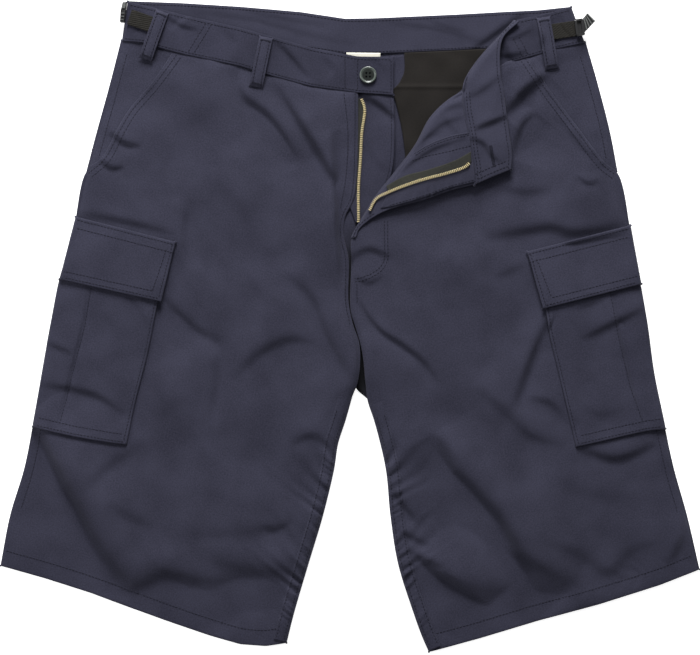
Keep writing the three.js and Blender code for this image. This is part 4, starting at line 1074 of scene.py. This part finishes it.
lap_width = 12
lap_lift = 0.75
lap_stitch_lift = 0.85
for side, inner, way, level in (("left", left_inner, 1, left_level),
                                ("right", right_inner, -1, right_level)):
    lap_line = smooth_line(inner, 150)
    drawn = partial(pucker_rise, line=lap_line, pitch=8, rise=0.6, reach=30, start=0.1)
    plan = beside(lap_line, way * np.linspace(0.3, lap_width, 11))
    rib = 0.35 * np.sin(np.pi * np.linspace(0, 1, 11))[None, :]
    sunk = 1 - 1.8 * np.exp(-np.linspace(0, 60, 151) / 2)[:, None]
    height = level(*plan) + drawn(*plan) + (lap_lift + rib) * sunk
    lap = cloth("inseam_lap_" + side + "_twill", plan, height, 0.7, navy_twill,
                ("left", 1.9, 1, 0.75, 0.6), ("right", 0.5, 0.8))

    def lap_level(x, y, level=level, drawn=drawn):
        """The lap's face under its stitches."""
        return level(x, y) + drawn(x, y) + lap_stitch_lift

    sewn = stitches("inseam_lap_" + side + "_stitches", lap_level,
                    [offset_line(lap_line, way * place)[10:-2] for place in (2.0, 10.4)])
    lay(lap, "twill_navy", (0.014, 0.28), None, ["front_" + side + "_twill"], sewn)

# ---------------------------------------------------------------------------
# Cargo pockets
# Bellows pockets of twill on the thighs, folded flat with one pleat down the
# body. Each has a stiff double flap, sewn on above and closed underneath.

pocket_rise = 2.4
flap_rise = 2.2
left_pocket_folds = [
    ([(-328, -60), (-268, -72), (-234, -94)], 5, 3.2, 15),
    ([(-321, -16), (-306, -22), (-290, -29)], 4, 2.0, 10),
    ([(-273, 48), (-281, 0), (-293, -47), (-308, -108)], 2.4, -1.5, 5, -0.3),
    ([(-231, 40), (-220, 18), (-210, -6)], 5, 1.6, 12),
    ([(-262, 20), (-250, 0), (-252, -30)], 7, 1.2, 14),
]
right_pocket_folds = [
    ([(242, -14), (274, 2), (311, 20)], 5, 3.2, 15),
    ([(274, 42), (285, -13), (297, -64), (311, -110)], 2.6, -2.4, 6, -0.8),
    ([(236, 18), (250, 24), (266, 29)], 5, 1.8, 10),
    ([(240, -80), (262, -92), (290, -86)], 6, 1.2, 14),
]


def clear_of(level, reach=5):
    """The height that clears a surface all round each point, at five places of it."""
    def clear(x, y):
        places = [(0, 0), (reach, 0), (-reach, 0), (0, reach), (0, -reach)]
        return np.max([level(x + dx, y + dy) for dx, dy in places], axis=0)
    return clear


def pocket_level(x, y, front, folds):
    """The pocket's face: clear of the front under it, with its own creases."""
    return creased(x, y, clear_of(front)(x, y) + pocket_rise, folds)


opposite = {"left": "right", "right": "left"}
pocket_levels = {
    "left": partial(pocket_level, front=left_level, folds=left_pocket_folds),
    "right": partial(pocket_level, front=right_level, folds=right_pocket_folds),
}
pocket_plans = {
    "left": panel([(-303, 53), (-313, 3), (-322, -48)], [(-202.5, 26), (-213, -27), (-227, -83)],
                  [(-297, 70), (-196, 50)],
                  smooth_line([(-332, -105), (-287, -115), (-249, -121.5), (-235, -123)]), 110, 110),
    "right": panel([(206, 18), (210, -6), (225, -70)], [(302, 53), (311, 3), (318, -48)],
                   [(200, 42), (299, 68)],
                   smooth_line([(238, -125.5), (271, -118), (311, -109), (330, -107)]), 110, 110),
}
pocket_rows = {
    "left": [
        [(-198, 49), (-204.5, 26), (-215, -27), (-229, -83), (-237.5, -121)],
        [(-329, -103.4), (-287, -112.8), (-249, -119.3), (-238, -120.8)],
        [(-327, -95.4), (-287, -104.8), (-249, -111.3), (-238, -112.8)],
        [(-270.5, 48), (-278.5, 0), (-290.5, -47), (-304, -101)],
    ],
    "right": [
        [(202, 41), (208, 18), (212, -6), (227, -70), (239.5, -123)],
        [(242, -122.4), (271, -115.6), (311, -106.6), (327, -104.8)],
        [(242, -114.4), (271, -107.6), (311, -98.6), (327, -96.8)],
        [(271, 44), (282, -13), (294, -64), (307, -100)],
    ],
}
for side, plan in pocket_plans.items():
    level = pocket_levels[side]
    pocket = cloth("cargo_pocket_" + side + "_twill", plan, level, 1.2, navy_twill,
                   (side, 1.8, 1, 0.75, 0.7), (opposite[side], 0.8, 2.0), ("bottom", 0.8, 2.0))
    sewn = stitches("cargo_pocket_" + side + "_stitches", level, pocket_rows[side])
    lay(pocket, "twill_navy", (0.13, 0.19), 0.0195, ["front_" + side + "_twill"], sewn)

flap_corners = {
    "left": ([(-286.5, 114), (-184, 88)], [(-303, 50), (-198.5, 27)]),
    "right": ([(187, 78), (293, 105)], [(203, 19.5), (304, 45)]),
}
for side, (head, foot) in flap_corners.items():
    over = clear_of(pocket_levels[side])
    plan = panel([], [], head, foot, 60, 36)
    head, foot = np.array(head, float), np.array(foot, float)

    def flap_level(x, y, over=over, head=head, foot=foot):
        """The flap's face: clear of the pocket, bellied by a sine and lifted towards its foot."""
        down = nearest(x, y, np.linspace(head[0], head[1], 9))[0] / np.linalg.norm(foot[0] - head[0])
        return over(x, y) + flap_rise + 0.6 * np.sin(np.pi * np.clip(down, 0, 1)) + 1.2 * down**3

    flap = cloth("cargo_flap_" + side + "_twill", plan, flap_level, 1.6, navy_twill,
                 (side, 2.0, 1, 0.75, 1.6), (opposite[side], 0.9, 1.8), ("bottom", 0.9, 1.8),
                 ("top", 0.9, 2.4))
    inner = 1 if side == "left" else 0
    inward = (foot[inner] - foot[1 - inner]) / np.linalg.norm(foot[inner] - foot[1 - inner])
    rows = [np.linspace(head[0], head[1], 9) + (0, -place) for place in (2.2, 11.0)]
    for place in (2.2, 8.6):
        corner = foot[inner] - place * inward + (0, place)
        rows.append([head[inner] - place * inward + (0, -place), corner])
        rows.append([corner, foot[1 - inner] + 3 * inward + (0, place)])
    sewn = stitches("cargo_flap_" + side + "_stitches", flap_level, rows)
    lay(flap, "twill_navy", (0.115, 0.075), 0.0073, ["cargo_pocket_" + side + "_twill"], sewn)

# ---------------------------------------------------------------------------
# Belt loops
# Folded strips of twill, bowed up over the waistband and bar-tacked down above
# and below it.

loop_width = 13
loop_lift = 1.5
loop_ridge = 0.25
loop_bow = 3.2
bar_tack_rows = (3, 4, 56, 57)
loop_places = {
    "left_side": ((-197, 330), (-214.5, 281), left_band_level),
    "left_front": ((-88, 303), (-98.5, 252), left_band_level),
    "right_side": ((203, 324), (212, 271), right_band_level),
}


def bow(down):
    """The loop's rise over the band: the root of a sine of the way down it."""
    return loop_bow * np.sqrt(np.sin(np.pi * np.clip(down, 0, 1)))


for place, (head, foot, level) in loop_places.items():
    line = smooth_line([head, foot], 60)
    plan = beside(line, np.linspace(loop_width / 2, -loop_width / 2, 15))
    ridge = loop_ridge * np.cos(np.linspace(-1, 1, 15) * np.pi)[None, :]
    height = level(*plan) + loop_lift + bow(np.linspace(0, 1, 61)[:, None]) + ridge

    def loop_level(x, y, level=level, line=line):
        """The loop's face under its stitches."""
        return level(x, y) + (loop_lift + loop_ridge) + bow(nearest(x, y, line)[2])

    loop = cloth("belt_loop_" + place + "_twill", plan, height, 1.1, navy_twill, ("left", 0.5, 0.9),
                 ("right", 0.5, 0.9), ("top", 0.6, 1.0), ("bottom", 0.6, 1.0))
    sewn = stitches("belt_loop_" + place + "_stitches", loop_level,
                    [offset_line(line, across)[2:-2] for across in (-4.4, 4.4)])
    bars = stitches("belt_loop_" + place + "_bar_tacks", loop_level,
                    [np.stack(plan, axis=-1)[row, 1:-1] for row in bar_tack_rows], length=1.2, gap=0.1)
    lay(loop, "twill_navy", (0.014, 0.057), None, ["waistband_" + place.split("_")[0] + "_twill"], sewn,
        bars)

# ---------------------------------------------------------------------------
# Adjusting straps and buckles
# Ribbed black webbing from under the side loops, held in moulded plastic
# buckles. The right one shows its frame and ribbed lever, the left one its edge.

webbing = cloth_finish("webbing", srgb(24, 23, 21), srgb(42, 40, 36), 0.0022, 0.75, 0.05, 0.9)
strap_width = 16
strap_lift = 1.7
strap_places = {
    "left": ((-206, 316), (-231.5, 325), left_band_level),
    "right": ((212, 309), (236.3, 312.8), right_band_level),
}
for side, (head, foot, level) in strap_places.items():
    plan = beside(smooth_line([head, foot], 40), np.linspace(-strap_width / 2, strap_width / 2, 21))
    ribs = 0.12 * np.cos(np.linspace(0, 14 * np.pi, 21))[None, :]
    height = clear_of(level)(*plan) + strap_lift + ribs
    strap = cloth("adjuster_strap_" + side + "_web", plan, height, 1.3, webbing)
    lay(strap, "webbing", (0.016, 0.027), None, ["waistband_" + side + "_twill"])

buckle_plastic, tree, shader = new_material("buckle_plastic")
mould = noise(tree, own_place(tree), 1600.0, 2.0)
grit = put(tree, "ShaderNodeBump", {"Height": mould, "Strength": 0.2, "Distance": 0.0001})
feed(shader, {"Base Color": srgb(30, 30, 32), "Normal": grit.outputs["Normal"],
              "Roughness": ranged(tree, mould, {"To Min": 0.38, "To Max": 0.56})})
# Painted highlight: the lever's ribs and the left buckle's cap and ribs are coloured pale grey for the
# light caught on the glossy plastic.
buckle_edge, tree, shader = new_material("buckle_edge")
painted_highlight_mottle = noise(tree, own_place(tree), 700.0, 2.0)
feed(shader, {"Base Color": blend(tree, painted_highlight_mottle, srgb(50, 52, 52), srgb(120, 123, 121)), "Roughness": 0.4})
chamfer = 0.5
chamfer_share = 0.9


def moulded(name, slabs, material):
    """Slabs as one mesh: each an outline raised from its bottom to its top, its upper rim chamfered
    by drawing the last ring in towards the middle."""
    points, faces = [], []
    for outline, bottom, top in slabs:
        outline = np.array(outline, float)
        shrink = outline.mean(axis=0) + (outline - outline.mean(axis=0)) * chamfer_share
        first = len(points)
        for ring, level in ((outline, bottom), (outline, top - chamfer), (shrink, top)):
            points.extend(np.column_stack([ring, np.full(len(ring), level)]).tolist())
        count = len(outline)
        here = np.arange(count)
        there = np.roll(here, -1)
        for low in (0, count):
            side = np.stack([here + low, there + low, there + low + count, here + low + count], axis=-1)
            faces.extend((side + first).tolist())
        faces.append((here + 2 * count + first).tolist())
        faces.append((here[::-1] + first).tolist())
    return mesh_piece(name, points, faces, material, smooth=False)


def bar(start, stop, width):
    """The outline of a straight bar between two points."""
    start, stop = np.array(start, float), np.array(stop, float)
    ahead = (stop - start) / np.linalg.norm(stop - start)
    across = np.array([-ahead[1], ahead[0]]) * width / 2
    return [start - across, stop - across, stop + across, start + across]


lever_near = np.array([(245.2, 307.6), (257.4, 320.4)])
lever_far = np.array([(243.6, 322.2), (248.9, 328.8)])
buckle_right = moulded("adjuster_buckle_right_frame", [
    ([(238.2, 304.8), (246.4, 306.2), (245.2, 322.4), (236.0, 321.2)], 7.0, 9.4),
    (bar((238.6, 305.2), (236.4, 321.2), 2.6), 7.6, 12.0),
    (bar((245.0, 306.2), (243.4, 322.2), 2.6), 7.6, 11.6),
    (bar((238.0, 305.4), (245.2, 306.6), 2.2), 7.8, 11.8),
    (bar((236.6, 321.0), (243.8, 322.0), 2.2), 7.8, 11.8),
    ([lever_near[0], lever_near[1], lever_far[1], lever_far[0]], 8.2, 10.6),
], buckle_plastic)
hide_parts("adjuster_buckle_right", "buckle_lever_right")
moulded("buckle_lever_right_ribs", [
    (bar(lever_near[1] + share * (lever_near[0] - lever_near[1]),
         lever_far[1] + share * (lever_far[0] - lever_far[1]), 1.2), 10.4, 11.5)
    for share in (0.08, 0.3, 0.52, 0.74)
], buckle_edge)
buckle_left = moulded("adjuster_buckle_left_frame", [
    ([(-241.3, 319.6), (-237.0, 319.2), (-235.0, 333), (-240.6, 333)], 0.8, 10.6),
    ([(-240.4, 332.6), (-235.2, 332.6), (-234.4, 340.8), (-238.6, 340.4)], 0.8, 9.6),
], buckle_plastic)
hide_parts("adjuster_buckle_left")
moulded("adjuster_buckle_left_edge", [
    ([(-239.6, 333.4), (-235.6, 333.4), (-234.8, 340.2), (-238.2, 339.8)], 9.2, 11.6),
    (bar((-240.4, 321.8), (-237.4, 321.6), 1.0), 10.4, 11.4),
    (bar((-240.2, 325.2), (-236.9, 325.0), 1.0), 10.4, 11.4),
    (bar((-240.0, 328.6), (-236.4, 328.4), 1.0), 10.4, 11.4),
], buckle_edge)

# ---------------------------------------------------------------------------
# Waist button
# A four-hole plastic button, 18 mm across, turned with a raised rim and a dish,
# with a pale painted highlight round its rim.

button_plastic, tree, shader = new_material("button_plastic")
button_middle = (0.019, 0.264, 0)
marbled = blend(tree, noise(tree, own_place(tree), 260.0, 3.0), srgb(16, 20, 18), srgb(34, 40, 37))
on_plan = reckon_place(tree, "MULTIPLY", own_place(tree), (1, 1, 0))["Vector"]
radius = reckon_place(tree, "DISTANCE", on_plan, button_middle)["Value"]
# Painted highlight: a pale band round the rim for the light it catches.
rim_painted_highlight = ranged(tree, radius, {"From Min": 0.0058, "From Max": 0.0072}, interpolation_type="SMOOTHSTEP")
feed(shader, {"Base Color": blend(tree, rim_painted_highlight, marbled, srgb(80, 88, 83)), "Roughness": 0.34})
refinish("waist_button", button_plastic)
